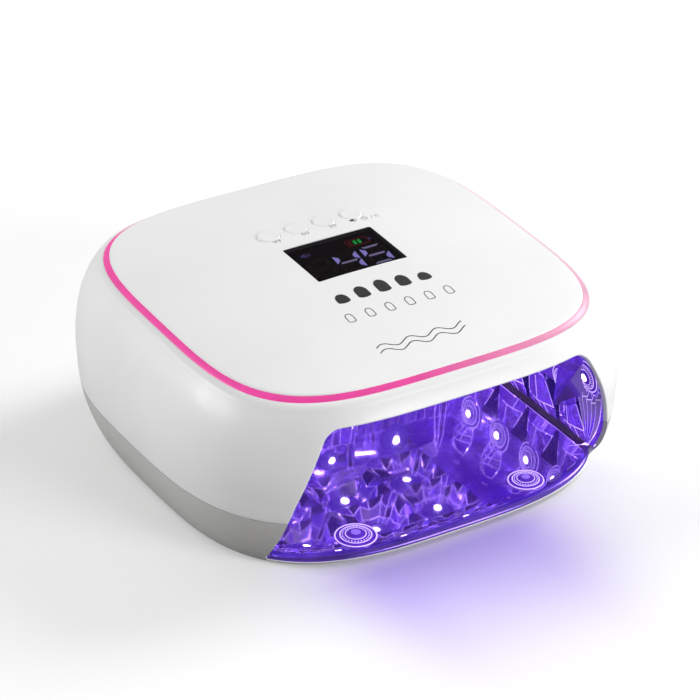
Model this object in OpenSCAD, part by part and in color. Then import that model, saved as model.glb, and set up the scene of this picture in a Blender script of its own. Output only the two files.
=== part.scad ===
// Cordless UV LED nail lamp: a rounded white housing on a base tray, with an open mouth at
// the front, a mirrored chamber with lensed UV LEDs inside, a crowned top cover with a display
// and four push buttons, a glowing accent ring round the cover, and cells behind the chamber.
// +Z is up, the user's hand goes in along +Y through the mouth, and z = 0 is the table.

/* [Body] */
// Width of the body at its widest ring
body_w = 230; // [228:1:234]
// Depth of the full body outline, before the mouth cuts the front away
body_d = 226.6; // [224:0.2:230]
// Squareness of the outline at the widest ring (2 is an ellipse)
plan_exp = 3.22; // [3.0:0.01:3.5]
// Squareness of the outline at the accent ring
rim_exp = 3.84; // [3.6:0.01:4.2]
// Height of the widest ring
waist_z = 39.2; // [38:0.1:41]
// Height of the joint between base tray and upper housing
parting_z = 29.5; // [28:0.1:31]
// Height of the top cover's edge
rim_z = 89.5; // [88.5:0.1:90.5]
// Height of the crown of the top cover
crown_z = 100; // [99:0.1:102]
// Size of the underside outline relative to the widest ring
foot_scale = 0.893; // [0.88:0.001:0.91]
// Size of the top cover's outline relative to the widest ring
rim_scale = 0.839; // [0.83:0.001:0.85]
// Rise of the top cover from front to back, in mm per mm
crown_tilt = 0.03; // [0.02:0.001:0.04]
// Wall thickness of the moulded shells
wall = 2.5; // [2.2:0.1:2.8]
// Height of the accent ring's visible band
band_h = 4.6; // [4:0.1:5]

/* [Mouth and chamber] */
// Half width of the mouth at the table
mouth_half_w = 90; // [88:0.5:91]
// Height of the mouth's top edge
mouth_top_z = 75; // [74:0.1:75.5]
// Height of the front lip
lip_z = 5.6; // [5.2:0.1:6]
// Radius of the mouth's top corners
mouth_corner_r = 10; // [8:0.5:12]
// Half width of the chamber at the table
chamber_half_w = 88; // [87:0.2:89]
// Height of the chamber ceiling
chamber_top_z = 75.5; // [75.2:0.1:76]
// Depth position of the chamber's back wall, from the middle of the body outline
chamber_back_y = 47; // [45:0.5:48]
// Top of the mirror floor
floor_z = 6.2; // [6:0.1:6.4]
// Sheet thickness of the reflectors
mirror_t = 1.6; // [1.2:0.1:1.8]

/* [Controls] */
// Diameter of a push button
button_d = 11.2; // [10:0.1:11.6]
// Distance between neighbouring buttons
button_pitch = 15.1; // [14.6:0.1:16]
// Distance of the button row behind the middle of the body outline
button_y = 32; // [31:0.5:34]
// Travel of a push button
button_travel = 0.5; // [0.3:0.05:0.7]
// Display window width
window_w = 47.8; // [46:0.1:50]
// Display window depth
window_d = 33.6; // [32:0.1:35]

/* [Light sources] */
// Outside diameter of a UV LED lens barrel
lens_d = 17; // [16:0.1:17.2]
// Distance between neighbouring LEDs along the side walls
side_pitch = 26; // [25:0.5:27]

/* [Power] */
// Diameter of a battery cell
cell_d = 18.2; // [18:0.1:18.4]
// Length of a battery cell
cell_l = 65; // [64:0.1:65.2]

/* [Hidden] */

half_w = body_w / 2;
half_d = body_d / 2;
seg = 72;                              // points round each outline
foot_h = 1.2;                          // how far the rubber feet hold the tray off the table
seam = 0.1;                            // half of the gap left at the parting line
clear = 0.2;                           // clearance between parts that slide or slip together
upper_sweep = 76.5;                    // degrees of the quarter turn that the shoulder uses

// ---- body form -------------------------------------------------------------------------

function clamp01(v) = max(0, min(1, v));
function signed_pow(v, e) = sign(v) * pow(abs(v), e);

// Half size of the body at height z, relative to the widest ring.
function body_scale(z) =
    z < waist_z
    ? let(c = 1 - z / waist_z)
        foot_scale + (1 - foot_scale) * pow(sqrt(1 - c * c), 1.6)
    : let(s = min(1, (z - waist_z) / (rim_z - waist_z)) * sin(upper_sweep))
        1 - (1 - rim_scale) * (1 - sqrt(1 - s * s)) / (1 - cos(upper_sweep));

// Squareness and backward rise of the outline at height z.
function exp_at(z) = plan_exp + (rim_exp - plan_exp) * clamp01((z - waist_z) / (rim_z - waist_z));
function tilt_at(z) = crown_tilt * clamp01((z - parting_z) / (rim_z - parting_z));

function outline(hw, hd, z, e, tilt) = [
    for (i = [0 : seg - 1])
        let(a = 360 * i / seg, y = hd * signed_pow(sin(a), 2 / e))
        [hw * signed_pow(cos(a), 2 / e), y, z + tilt * y]
];
function body_ring(z, inset) =
    outline(half_w * body_scale(z) - inset, half_d * body_scale(z) - inset, z, exp_at(z), tilt_at(z));
// A ring near the top, sized as a fraction of the top cover's outline.
function rim_ring(k, z) =
    outline(half_w * rim_scale * k, half_d * rim_scale * k, z, rim_exp, tilt_at(z));
// Height of the top cover over a fraction k of its outline, and over a point.
function crown_at(k) = rim_z + (crown_z - rim_z) * (1 - k * k);
function cover_z(x, y) =
    let(k = pow(pow(abs(x) / half_w, rim_exp) + pow(abs(y) / half_d, rim_exp), 1 / rim_exp))
    crown_at(k / rim_scale) + crown_tilt * y;
// The mouth's top edge cuts the tilted rings, so the ring that meets it at the very front
// has a higher nominal height. The shift puts the middle of the whole lamp on the origin.
brow_guess = mouth_top_z + tilt_at(mouth_top_z) * half_d * body_scale(mouth_top_z);
brow_z = mouth_top_z + tilt_at(brow_guess) * half_d * body_scale(brow_guess);
front_reach = half_d * body_scale(brow_z);
plan_y = (front_reach - half_d) / 2;
// Distance from the middle to the outline at height z, along Y at a given x and along X at a
// given y.
function outline_y(x, z) =
    half_d * body_scale(z) * pow(1 - pow(abs(x) / half_w / body_scale(z), exp_at(z)), 1 / exp_at(z));
function outline_x(y, z) =
    half_w * body_scale(z) * pow(1 - pow(abs(y) / half_d / body_scale(z), exp_at(z)), 1 / exp_at(z));

function band_faces(n, closed) = [
    for (k = [0 : (closed ? n - 1 : n - 2)], i = [0 : seg - 1])
        let(
            j = (i + 1) % seg,
            a = k * seg,
            b = ((k + 1) % n) * seg
        )
        each [[a + i, b + i, b + j], [a + i, b + j, a + j]]
];
// A closed tube whose section is the list of rings, taken outside upwards, inside downwards.
module ring_tube(rings)
    polyhedron(points = [for (r = rings) each r], faces = band_faces(len(rings), true));
// A closed solid whose first ring is capped facing down and whose last is capped facing up.
module ring_solid(rings) {
    n = len(rings);
    polyhedron(
        points = [for (r = rings) each r],
        faces = concat(
            band_faces(n, false),
            [[for (i = [0 : seg - 1]) i]],
            [[for (i = [seg - 1 : -1 : 0]) (n - 1) * seg + i]]
        )
    );
}

module on_plan() translate([0, plan_y, 0]) children();
module both_sides() {
    children();
    mirror([1, 0, 0]) children();
}

// ---- mouth and chamber outlines --------------------------------------------------------

// Half of an arched outline in X and Z: a side that leans in with the square of the height,
// a round corner and a flat top.
function arch_half(w0, lean, r, top, bottom) =
    let(
        corner_z = top - r,
        slope = atan(2 * lean * corner_z),
        start_z = corner_z + r * sin(slope),
        corner_x = w0 - lean * start_z * start_z - r * cos(slope)
    )
    concat(
        [for (i = [0 : 6]) let(z = bottom + (start_z - bottom) * i / 7) [w0 - lean * z * z, z]],
        [
            for (i = [0 : 6])
                let(a = slope + (90 - slope) * i / 6)
                [corner_x + r * cos(a), corner_z + r * sin(a)]
        ]
    );
function arch(w0, lean, r, top, bottom) =
    let(h = arch_half(w0, lean, r, top, bottom))
    concat(h, [for (i = [len(h) - 1 : -1 : 0]) [-h[i][0], h[i][1]]]);
// The extrusion of an arch along Y, from y0 to y1.
module arch_prism(pts, y0, y1)
    translate([0, y1, 0]) rotate([90, 0, 0]) linear_extrude(height = y1 - y0) polygon(pts);

mouth_lean = 0.0039;
chamber_lean = 0.0016;
chamber_corner_r = 12;
reflector_foot_z = 8.6;
module mouth_cut()
    arch_prism(arch(mouth_half_w, mouth_lean, mouth_corner_r, mouth_top_z, lip_z), -half_d - 5, 0);
function chamber_x(z) = chamber_half_w - chamber_lean * z * z;

// ---- light source layout (X, Y, Z from the middle of the body outline) ------------------

side_led_z = 35;
side_tilt = 7.5;                       // lean of the side LED boards, degrees
front_led = [-82, 48.5];
side_leds = concat([for (i = [0 : 3]) [18 - i * side_pitch, side_led_z]], [front_led]);
ceiling_leds = [for (x = [-56, -20, 20, 56], y = [-66, -32, 2, 32]) [x, y]];
back_leds = [for (x = [-58, -20, 20, 58]) [x, 57]];
base_leds = [[-46.5, -88], [46.5, -88]];

// The plane of a side LED board, carried to the mirror face.
function side_plane_x(z) = chamber_x(side_led_z) - (z - side_led_z) * tan(side_tilt);

// Places children with +Z pointing into the chamber from each group of LEDs.
module at_side_leds() both_sides() for (p = side_leds)
    translate([chamber_x(p[1]), p[0], p[1]]) rotate([0, -90 - side_tilt, 0]) children();
module at_ceiling_leds() for (p = ceiling_leds)
    translate([p[0], p[1], chamber_top_z]) rotate([180, 0, 0]) children();
module at_back_leds() for (p = back_leds)
    translate([p[0], chamber_back_y, p[1]]) rotate([90, 0, 0]) children();
module at_base_leds() for (p = base_leds) translate([p[0], p[1], floor_z]) children();

lens_r = lens_d / 2;
lens_hole_r = lens_r + 0.3;
flange_r = lens_r + 1;
flange_t = 0.9;
chip_w = 3.6;
chip_t = 0.8;
led_board_t = 1.2;
lens_back = mirror_t + 0.3 + flange_t;  // from the mirror face back to the lens flange
board_back = lens_back + 0.15;          // from the mirror face back to the LED board

module lens_hole() translate([0, 0, -8]) cylinder(r = lens_hole_r, h = 16, $fn = 48);
// Domed lens with a flange behind the mirror and a pocket over the chip.
module led_lens(back, rim_t) rotate_extrude($fn = 48) polygon([
    [2.9, -back], [flange_r, -back], [flange_r, -back + rim_t], [lens_r, -back + rim_t],
    [lens_r, 0.5], [lens_r - 1.1, 0.9], [lens_r - 1.1, 0.5], [lens_r - 2.2, 0.5],
    [lens_r - 2.2, 1.0], [2.6, 1.9], [0, 2.2], [0, -back + 1.4], [2.9, -back + 1.4]
]);

// ---- shells ----------------------------------------------------------------------------

tray_floor_z = 3.2;                    // top of the tray's bottom skin
screw_spots = [[-97, -38], [97, -38], [-97, 38], [97, 38], [-58, 89], [58, 89]];
column_r = 4;
seat_z = 20;                           // where the housing screw heads bear
column_top_z = 27;
foot_spots = [[-62, -72], [62, -72], [-62, 74], [62, 74]];
foot_r = 7;
board_post_spots = [[-40, 83], [40, 83], [-40, 95], [40, 95]];
driver_z = 10;                         // underside of the driver board
jack_x = 0;
jack_z = 17.2;

module lower_housing() color("gainsboro") on_plan() difference() {
    union() {
        ring_solid(concat(
            [outline(half_w * foot_scale, half_d * foot_scale, foot_h, plan_exp, 0)],
            [for (z = [3, 6, 10, 15, 20, 25, parting_z - seam]) body_ring(z, 0)],
            [for (z = [parting_z - seam, 22, 14, 7, tray_floor_z]) body_ring(z, wall)]
        ));
        for (p = screw_spots) translate([p[0], p[1], foot_h + 0.6])
            cylinder(r = column_r, h = column_top_z - foot_h - 0.6, $fn = 32);
        for (p = board_post_spots) translate([p[0], p[1], tray_floor_z - 1])
            cylinder(r = 3, h = driver_z - tray_floor_z + 0.9, $fn = 32);
    }
    mouth_cut();
    for (p = screw_spots) translate([p[0], p[1], 0]) {
        cylinder(r = 3.1, h = seat_z, $fn = 32);
        cylinder(r = 1.7, h = parting_z, $fn = 32);
    }
    for (p = board_post_spots) translate([p[0], p[1], tray_floor_z])
        cylinder(r = 1.25, h = driver_z, $fn = 24);
    for (p = foot_spots) translate([p[0], p[1], 0]) cylinder(r = foot_r + clear, h = foot_h + 0.7, $fn = 48);
    for (i = [-4 : 4]) translate([i * 7 - 1.2, 62, 0]) cube([2.4, 20, tray_floor_z + 1]);
    translate([jack_x, half_d, jack_z]) rotate([90, 0, 0]) cylinder(r = 4.2, h = 12, $fn = 48);
}

ledge_k = 0.88;                        // inner edge of the ledge under the top cover
ledge_t = 2;
band_z = rim_z - band_h;               // height of the ledge that carries the accent ring
cover_screw_k = 0.9175;                // cover screws, as a fraction of the cover outline
cover_screw_spots = [
    [half_w * rim_scale * cover_screw_k, 0], [-half_w * rim_scale * cover_screw_k, 0],
    [0, half_d * rim_scale * cover_screw_k], [0, -half_d * rim_scale * cover_screw_k]
];

module upper_housing() color("white") on_plan() difference() {
    union() {
        ring_tube(concat(
            [for (z = [parting_z + seam, 34, waist_z, 46, 53, 60, 66, 72]) body_ring(z, 0)],
            [for (z = [brow_z, 81, band_z]) body_ring(z, 0)],
            [rim_ring(ledge_k, band_z), rim_ring(ledge_k, band_z - ledge_t)],
            [for (z = [band_z - ledge_t, 78, 72, 65, 56, 47, waist_z, parting_z + seam]) body_ring(z, wall)]
        ));
        for (p = screw_spots) {
            side = abs(p[1]) < 60;
            reach = side ? outline_x(p[1], waist_z) - abs(p[0]) : outline_y(p[0], waist_z) - abs(p[1]);
            translate([p[0], p[1], column_top_z + clear]) cylinder(r = column_r - 0.4, h = 20, $fn = 32);
            translate([p[0], p[1], 33]) rotate([0, 0, side ? (p[0] > 0 ? 0 : 180) : 90])
                translate([2, -1, 0]) cube([reach - 2 - wall / 2, 2, 12]);
        }
    }
    mouth_cut();
    for (p = screw_spots) translate([p[0], p[1], column_top_z]) cylinder(r = 1.5, h = 17, $fn = 32);
    for (p = cover_screw_spots) translate([p[0], p[1], band_z - 6 + tilt_at(band_z) * p[1]])
        cylinder(r = 1.3, h = 10, $fn = 24);
}

cover_t = 2.4;
plug_in_k = 0.895;                     // the cover's locating skirt, inside and outside
plug_out_k = 0.94;
window_y = -0.8;
window_t = 1.2;
window_drop = 0.5;                     // how far the window sits below the crown
window_z = crown_z - window_drop - window_t;
window_ledge = 1.2;
button_x = [-1.5, -0.5, 0.5, 1.5];
button_shift = 0.25;
function button_spot(i) = [button_x[i] * button_pitch + button_shift, button_y];
control_spots = [[-52, -20], [52, -20], [-52, 46], [52, 46]];
control_z = 87.2;                      // underside of the control board
control_t = 1.6;
control_top = control_z + control_t;
tilt_deg = atan(crown_tilt);

module top_cover() color("white") on_plan() difference() {
    union() {
        ring_solid(concat(
            [for (k = [0.06, 0.3, 0.5, 0.66, 0.79]) rim_ring(k, crown_at(k) - cover_t)],
            [rim_ring(plug_in_k, crown_at(plug_in_k) - cover_t), rim_ring(plug_in_k, band_z + 0.25)],
            [rim_ring(plug_out_k, band_z + 0.25), rim_ring(plug_out_k, rim_z - 0.15)],
            [for (k = [1, 0.985, 0.93, 0.84, 0.72, 0.58, 0.42, 0.24, 0.06])
                rim_ring(k, k == 1 ? rim_z - 0.15 : crown_at(k))]
        ));
        for (p = control_spots) translate([p[0], p[1], control_top])
            cylinder(r = 3, h = cover_z(p[0], p[1]) - control_top - 1.2, $fn = 32);
    }
    translate([0, window_y, window_z]) rotate([tilt_deg, 0, 0]) {
        translate([-window_w / 2 - clear, -window_d / 2 - clear, -0.05])
            cube([window_w + 2 * clear, window_d + 2 * clear, 6]);
        translate([-window_w / 2 + window_ledge, -window_d / 2 + window_ledge, -10])
            cube([window_w - 2 * window_ledge, window_d - 2 * window_ledge, 12]);
    }
    for (i = [0 : 3]) translate([button_spot(i)[0], button_spot(i)[1], 85])
        cylinder(d = button_d + 2 * clear, h = 20, $fn = 64);
    for (p = control_spots) translate([p[0], p[1], control_top - 1]) cylinder(r = 1.2, h = 7, $fn = 24);
    for (p = cover_screw_spots) translate([p[0], p[1], band_z - 1 + tilt_at(band_z) * p[1]])
        cylinder(r = 1.1, h = 4.2, $fn = 24);
}

// ---- accent ring -----------------------------------------------------------------------

ring_in_k = 0.969;
tape_in_k = 0.9455;
tape_t = 0.3;
accent_count = 40;

module accent_light_ring() color("hotpink") on_plan() ring_tube([
    body_ring(band_z + 0.15, 0.5), body_ring(band_z + band_h * 0.5, 0.4), body_ring(rim_z - 0.4, 0.5),
    rim_ring(ring_in_k, rim_z - 0.4), rim_ring(ring_in_k, band_z + 0.15)
]);

module accent_led_tape() color("ivory") on_plan() {
    tape_out_k = tape_in_k + tape_t / (half_w * rim_scale);
    ring_tube([
        rim_ring(tape_out_k, band_z + 0.4), rim_ring(tape_out_k, rim_z - 0.6),
        rim_ring(tape_in_k, rim_z - 0.6), rim_ring(tape_in_k, band_z + 0.4)
    ]);
}

module accent_leds() color("lemonchiffon") on_plan() {
    hw = half_w * rim_scale * tape_in_k + tape_t;
    hd = half_d * rim_scale * tape_in_k + tape_t;
    for (i = [0 : accent_count - 1]) {
        a = 360 * (i + 0.5) / accent_count;
        x = hw * signed_pow(cos(a), 2 / rim_exp);
        y = hd * signed_pow(sin(a), 2 / rim_exp);
        nx = signed_pow(x / hw, rim_exp - 1) / hw;
        ny = signed_pow(y / hd, rim_exp - 1) / hd;
        translate([x, y, band_z + 1.1 + tilt_at(rim_z) * y]) rotate([0, 0, atan2(ny, nx)])
            translate([0.12, -1.2, 0]) cube([0.9, 2.4, 1.8]);
    }
}

// ---- display ---------------------------------------------------------------------------

module on_window() translate([0, window_y, window_z]) rotate([tilt_deg, 0, 0]) children();

module display_window() color("black") on_plan() on_window()
    translate([-window_w / 2, -window_d / 2, 0]) cube([window_w, window_d, window_t]);

module_gap = 0.35;                     // between the module and the window above it
digit_h = 15.2;                        // between the centre lines of a digit's end bars
digit_w = 10;
digit_pitch = 14.9;
digit_slant = 0.12;
digit_spot = [-0.6, -5.4];             // middle of the middle digit
stroke = 1.8;
bar_t = 0.2;

module display_module() color([0.06, 0.06, 0.07]) on_plan() difference() {
    w = window_w - 2 * window_ledge - 0.2;
    d = window_d - 2 * window_ledge - 0.2;
    on_window() translate([-w / 2, -d / 2, -7.5]) cube([w, d, 7.5 - module_gap]);
    translate([-w / 2 - 1, window_y - d / 2 - 1, control_top - 6]) cube([w + 2, d + 2, 6.1]);
}

// One bar of a digit, with pointed ends, along X or Y and leaning with the digit.
function bar_outline(len, mid, along_x) = [
    for (p = [
        [-len / 2, 0], [-len / 2 + stroke / 2, stroke / 2], [len / 2 - stroke / 2, stroke / 2],
        [len / 2, 0], [len / 2 - stroke / 2, -stroke / 2], [-len / 2 + stroke / 2, -stroke / 2]
    ])
        let(x = mid[0] + (along_x ? p[0] : -p[1]), y = mid[1] + (along_x ? p[1] : p[0]))
        [x + digit_slant * y, y]
];
// A seven-bar figure, all bars present.
module digit() {
    for (r = [-1 : 1]) linear_extrude(height = bar_t)
        polygon(bar_outline(digit_w - 0.5, [0, r * digit_h / 2], true));
    for (c = [-1, 1], r = [-1, 1]) linear_extrude(height = bar_t)
        polygon(bar_outline(digit_h / 2 - 0.5, [c * digit_w / 2, r * digit_h / 4], false));
}
battery_spot = [12.4, 9];              // middle of the charge indicator
module display_segments() color("lavender") on_plan() on_window() translate([0, 0, -module_gap + 0.05]) {
    for (c = [-1 : 1]) translate([digit_spot[0] + c * digit_pitch, digit_spot[1], 0]) digit();
    for (i = [-1 : 1]) translate([battery_spot[0] + i * 2.6 - 2.6, battery_spot[1] - 1.6, 0])
        cube([1.6, 3.2, bar_t]);
    translate([-17.9, battery_spot[1] - 1.2, 0]) cube([3, 2.4, bar_t]);
}

// ---- buttons and switches --------------------------------------------------------------

switch_h = 3.4;
switch_top = control_top + switch_h;
plunger_h = 1.4;
plunger_top = switch_top + plunger_h;
// Cap crown above the cover, and the flange that stops it coming out.
cap_proud = 0.45;
cap_flange_t = 0.8;

module push_button(i) on_plan() translate([button_spot(i)[0], button_spot(i)[1], 0]) {
    top = cover_z(button_spot(i)[0], button_spot(i)[1]) + cap_proud;
    flange_top = top - cap_proud - cover_t - 0.75;
    r = button_d / 2;
    rotate_extrude($fn = 64) polygon([
        [0, plunger_top + 0.03], [2, plunger_top + 0.03], [2, flange_top - cap_flange_t],
        [r + 1, flange_top - cap_flange_t], [r + 1, flange_top], [r, flange_top],
        [r, top - 0.7], [r - 0.25, top - 0.35], [r - 1.2, top - 0.12], [r * 0.5, top - 0.02], [0, top]
    ]);
}
module button_99s() color("white") push_button(0);
module button_60s() color("white") push_button(1);
module button_30s() color("white") push_button(2);
module button_power() color("white") push_button(3);

module plunger(i) on_plan() translate([button_spot(i)[0], button_spot(i)[1], switch_top - 1])
    cylinder(r = 1.6, h = plunger_h + 1, $fn = 32);
module plunger_99s() color("dimgray") plunger(0);
module plunger_60s() color("dimgray") plunger(1);
module plunger_30s() color("dimgray") plunger(2);
module plunger_power() color("dimgray") plunger(3);

module switch_bodies() color("silver") on_plan() for (i = [0 : 3])
    translate([button_spot(i)[0], button_spot(i)[1], control_top]) difference() {
        translate([-3, -3, 0.02]) cube([6, 6, switch_h - 0.02]);
        translate([0, 0, switch_h - 1.8]) cylinder(r = 1.65, h = 3, $fn = 32);
    }

// ---- control board ---------------------------------------------------------------------

module control_board() color("darkgreen") on_plan() difference() {
    translate([-57, -25, control_z]) cube([114, 76, control_t]);
    for (p = control_spots) translate([p[0], p[1], control_z - 1]) cylinder(r = 1.4, h = 4, $fn = 24);
}

module control_chips() color([0.15, 0.15, 0.16]) on_plan() {
    translate([-44, -4, control_top + 0.02]) cube([9, 9, 1.6]);
    translate([34, 2, control_top + 0.02]) cube([6, 5, 1.5]);
    translate([34, -14, control_top + 0.02]) cube([10, 5, 4]);
    for (i = [0 : 4]) translate([-46 + i * 4, 12, control_top + 0.02]) cube([2, 1.2, 0.8]);
}

module buzzer() color([0.12, 0.12, 0.12]) on_plan() translate([42, 22, control_top + 0.02]) difference() {
    cylinder(r = 6, h = 5.5, $fn = 48);
    translate([0, 0, 4.5]) cylinder(r = 1, h = 2, $fn = 24);
}

// ---- reflectors ------------------------------------------------------------------------

side_post_spots = [[-44, 50], [5, 50]];
ceiling_post_spots = [[-38, -49], [38, -49], [-38, 17], [38, 17]];
back_post_spots = [[-39, 57], [39, 57]];
post_r = 2.6;

// Frames of the LED board screws: +Z points away from the chamber, origin on the mirror face.
module at_side_posts() both_sides() for (p = side_post_spots)
    translate([side_plane_x(p[1]), p[0], p[1]]) rotate([0, 90 - side_tilt, 0]) children();
module at_ceiling_posts() for (p = ceiling_post_spots) translate([p[0], p[1], chamber_top_z]) children();
module at_back_posts() for (p = back_post_spots)
    translate([p[0], chamber_back_y, p[1]]) rotate([-90, 0, 0]) children();

module upper_reflector() color("slateblue") on_plan() difference() {
    union() {
        intersection() {
            difference() {
                arch_prism(
                    arch(chamber_half_w + mirror_t, chamber_lean, chamber_corner_r + mirror_t,
                        chamber_top_z + mirror_t, reflector_foot_z),
                    -half_d - 5, chamber_back_y + mirror_t
                );
                arch_prism(
                    arch(chamber_half_w, chamber_lean, chamber_corner_r, chamber_top_z, 0),
                    -half_d - 10, chamber_back_y
                );
            }
            ring_solid([for (z = [7, 14, 22, 30, waist_z, 48, 56, 64, 72, 79]) body_ring(z, wall + 0.4)]);
        }
        at_side_posts() translate([0, 0, 0.8]) cylinder(r = post_r, h = board_back - 0.85, $fn = 24);
        at_ceiling_posts() translate([0, 0, 0.8]) cylinder(r = post_r, h = board_back - 0.85, $fn = 24);
        at_back_posts() translate([0, 0, 0.8]) cylinder(r = post_r, h = board_back - 0.85, $fn = 24);
    }
    at_side_leds() lens_hole();
    at_ceiling_leds() lens_hole();
    at_back_leds() lens_hole();
    translate([0, -12, chamber_top_z - 1]) cylinder(r = 3.2, h = 6, $fn = 32);
    at_side_posts() translate([0, 0, 0.6]) cylinder(r = 1, h = 6, $fn = 24);
    at_ceiling_posts() translate([0, 0, 0.6]) cylinder(r = 1, h = 6, $fn = 24);
    at_back_posts() translate([0, 0, 0.6]) cylinder(r = 1, h = 6, $fn = 24);
}

plate_half_w = chamber_half_w - 2.5;    // leaves a dark gap along the foot of the side walls
module base_reflector() color("slateblue") on_plan() difference() {
    intersection() {
        translate([0, 0, floor_z - mirror_t + 0.2]) linear_extrude(height = mirror_t - 0.2)
            polygon([for (p = body_ring(floor_z - mirror_t, wall + 0.3)) [p[0], p[1]]]);
        translate([-plate_half_w, -half_d, 0]) cube([2 * plate_half_w, half_d + chamber_back_y - 1, 12]);
    }
    at_base_leds() lens_hole();
}

// ---- LED boards, lenses and chips ------------------------------------------------------

module board_screw_hole() translate([0, 0, board_back - 1]) cylinder(r = 1.25, h = 5, $fn = 24);

// The foremost pair of side LEDs sits higher than the rest, on round boards of its own.
module side_led_boards() color("darkgreen") on_plan() difference() {
    drop = board_back + led_board_t;
    both_sides() {
        translate([chamber_x(side_led_z), 0, side_led_z]) rotate([0, -90 - side_tilt, 0])
            translate([-10, -72, -drop]) cube([28, 100, led_board_t]);
        translate([chamber_x(front_led[1]), front_led[0], front_led[1]]) rotate([0, -90 - side_tilt, 0])
            translate([0, 0, -drop]) cylinder(r = flange_r - 0.3, h = led_board_t, $fn = 48);
    }
    at_side_posts() board_screw_hole();
}

module ceiling_led_board() color("darkgreen") on_plan() difference() {
    translate([-66, -76, chamber_top_z + board_back]) cube([132, 118, led_board_t]);
    at_ceiling_posts() board_screw_hole();
    translate([0, -12, chamber_top_z]) cylinder(r = 3.2, h = 9, $fn = 32);
}

module back_led_board() color("darkgreen") on_plan() difference() {
    translate([-70, chamber_back_y + board_back, 47]) cube([140, led_board_t, 20]);
    at_back_posts() board_screw_hole();
}

base_board_z = tray_floor_z + 0.1;
base_board_t = 0.8;
module base_led_boards() color("darkgreen") on_plan() for (p = base_leds)
    translate([p[0], p[1], base_board_z]) cylinder(r = flange_r, h = base_board_t, $fn = 48);

module side_led_lenses() color("mediumpurple") on_plan() at_side_leds() led_lens(lens_back, flange_t);
module ceiling_led_lenses() color("mediumpurple") on_plan() at_ceiling_leds() led_lens(lens_back, flange_t);
module back_led_lenses() color("mediumpurple") on_plan() at_back_leds() led_lens(lens_back, flange_t);
module base_led_lenses() color("mediumpurple") on_plan() at_base_leds()
    led_lens(floor_z - base_board_z - base_board_t - 0.1, 0.5);

module chip(back) translate([-chip_w / 2, -chip_w / 2, -back + 0.02]) cube([chip_w, chip_w, chip_t]);
module uv_led_chips() color("khaki") on_plan() {
    at_side_leds() chip(board_back);
    at_ceiling_leds() chip(board_back);
    at_back_leds() chip(board_back);
    at_base_leds() chip(floor_z - base_board_z - base_board_t);
}

module hand_sensor() color([0.08, 0.08, 0.1]) on_plan() translate([0, -12, chamber_top_z - 0.8]) {
    cylinder(r = 2.8, h = board_back + 2.4, $fn = 32);
}

// ---- power -----------------------------------------------------------------------------

cell_y = 66;
cell_rows = [15.5, 35.5, 55.5];
cell_x = cell_l / 2 + 1;
module at_cells() for (x = [-cell_x, cell_x], z = cell_rows)
    translate([x, cell_y, z]) rotate([0, 90, 0]) children();

module battery_cells() color("royalblue") on_plan() at_cells() translate([0, 0, -cell_l / 2]) {
    cylinder(d = cell_d, h = cell_l - 1.4, $fn = 48);
    translate([0, 0, cell_l - 1.5]) cylinder(r = 3, h = 1.5, $fn = 32);
}

module battery_cradle() color([0.2, 0.2, 0.22]) on_plan() difference() {
    translate([-cell_x - cell_l / 2 + 3, 54.5, tray_floor_z + 0.1])
        cube([2 * (cell_x + cell_l / 2 - 3), 9, cell_rows[2] + 8]);
    at_cells() translate([0, 0, -cell_l / 2 - 2]) cylinder(d = cell_d + 0.5, h = cell_l + 4, $fn = 48);
}

tab_t = 0.25;
tab_x = cell_x + cell_l / 2 + 0.15;
module cell_tabs() color("silver") on_plan() for (x = [-tab_x - tab_t, -tab_t / 2, tab_x])
    translate([x, cell_y - 2, cell_rows[0] - 5]) cube([tab_t, 6, cell_rows[2] - cell_rows[0] + 10]);

module charger_board() color("darkgreen") on_plan() {
    translate([-24, 76.2, 26]) cube([48, 1.4, 30]);
    translate([-18, 77.62, 32]) cube([7, 1.5, 7]);
    translate([8, 77.62, 42]) cube([5, 2, 5]);
}

module driver_board() color("darkgreen") on_plan() difference() {
    translate([-48, 78.5, driver_z + 0.15]) cube([96, 20.5, 1.6]);
    for (p = board_post_spots) translate([p[0], p[1], driver_z - 1]) cylinder(r = 1.5, h = 5, $fn = 24);
}
driver_top = driver_z + 1.75;

module inductor() color([0.3, 0.3, 0.32]) on_plan() translate([22, 90, driver_top + 0.02])
    rotate_extrude($fn = 48) polygon([
        [1.4, 0], [7, 0], [7, 1.2], [5, 2], [5, 5.4], [7, 6.2], [7, 7.4], [1.4, 7.4]
    ]);

module capacitors() color([0.12, 0.14, 0.3]) on_plan() for (x = [-30, -20])
    translate([x, 90, driver_top + 0.02]) cylinder(r = 4, h = 12, $fn = 32);

module driver_chips() color([0.15, 0.15, 0.16]) on_plan() {
    translate([-14, 82, driver_top + 0.02]) cube([6, 6, 1.4]);
    translate([31, 84, driver_top + 0.02]) cube([5, 6, 1.4]);
    translate([8, 82, driver_top + 0.02]) cube([4, 4, 1.2]);
}

jack_mouth_y = 105.2;
jack_l = 13;
jack_bore_r = 3.15;
jack_bore_l = 9.5;
pin_r = 1.05;
tail_r = 0.7;
// Places children at the mouth of the charging jack, with +Z pointing into it.
module at_jack() translate([jack_x, jack_mouth_y, jack_z]) rotate([90, 0, 0]) children();

module dc_jack() color([0.1, 0.1, 0.1]) on_plan() difference() {
    translate([jack_x - 4.5, jack_mouth_y - jack_l, driver_top + 0.02]) cube([9, jack_l, 10.4]);
    at_jack() translate([0, 0, -1]) cylinder(r = jack_bore_r, h = jack_bore_l + 1, $fn = 48);
    at_jack() cylinder(r = tail_r + 0.05, h = jack_l + 1, $fn = 32);
}
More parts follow.
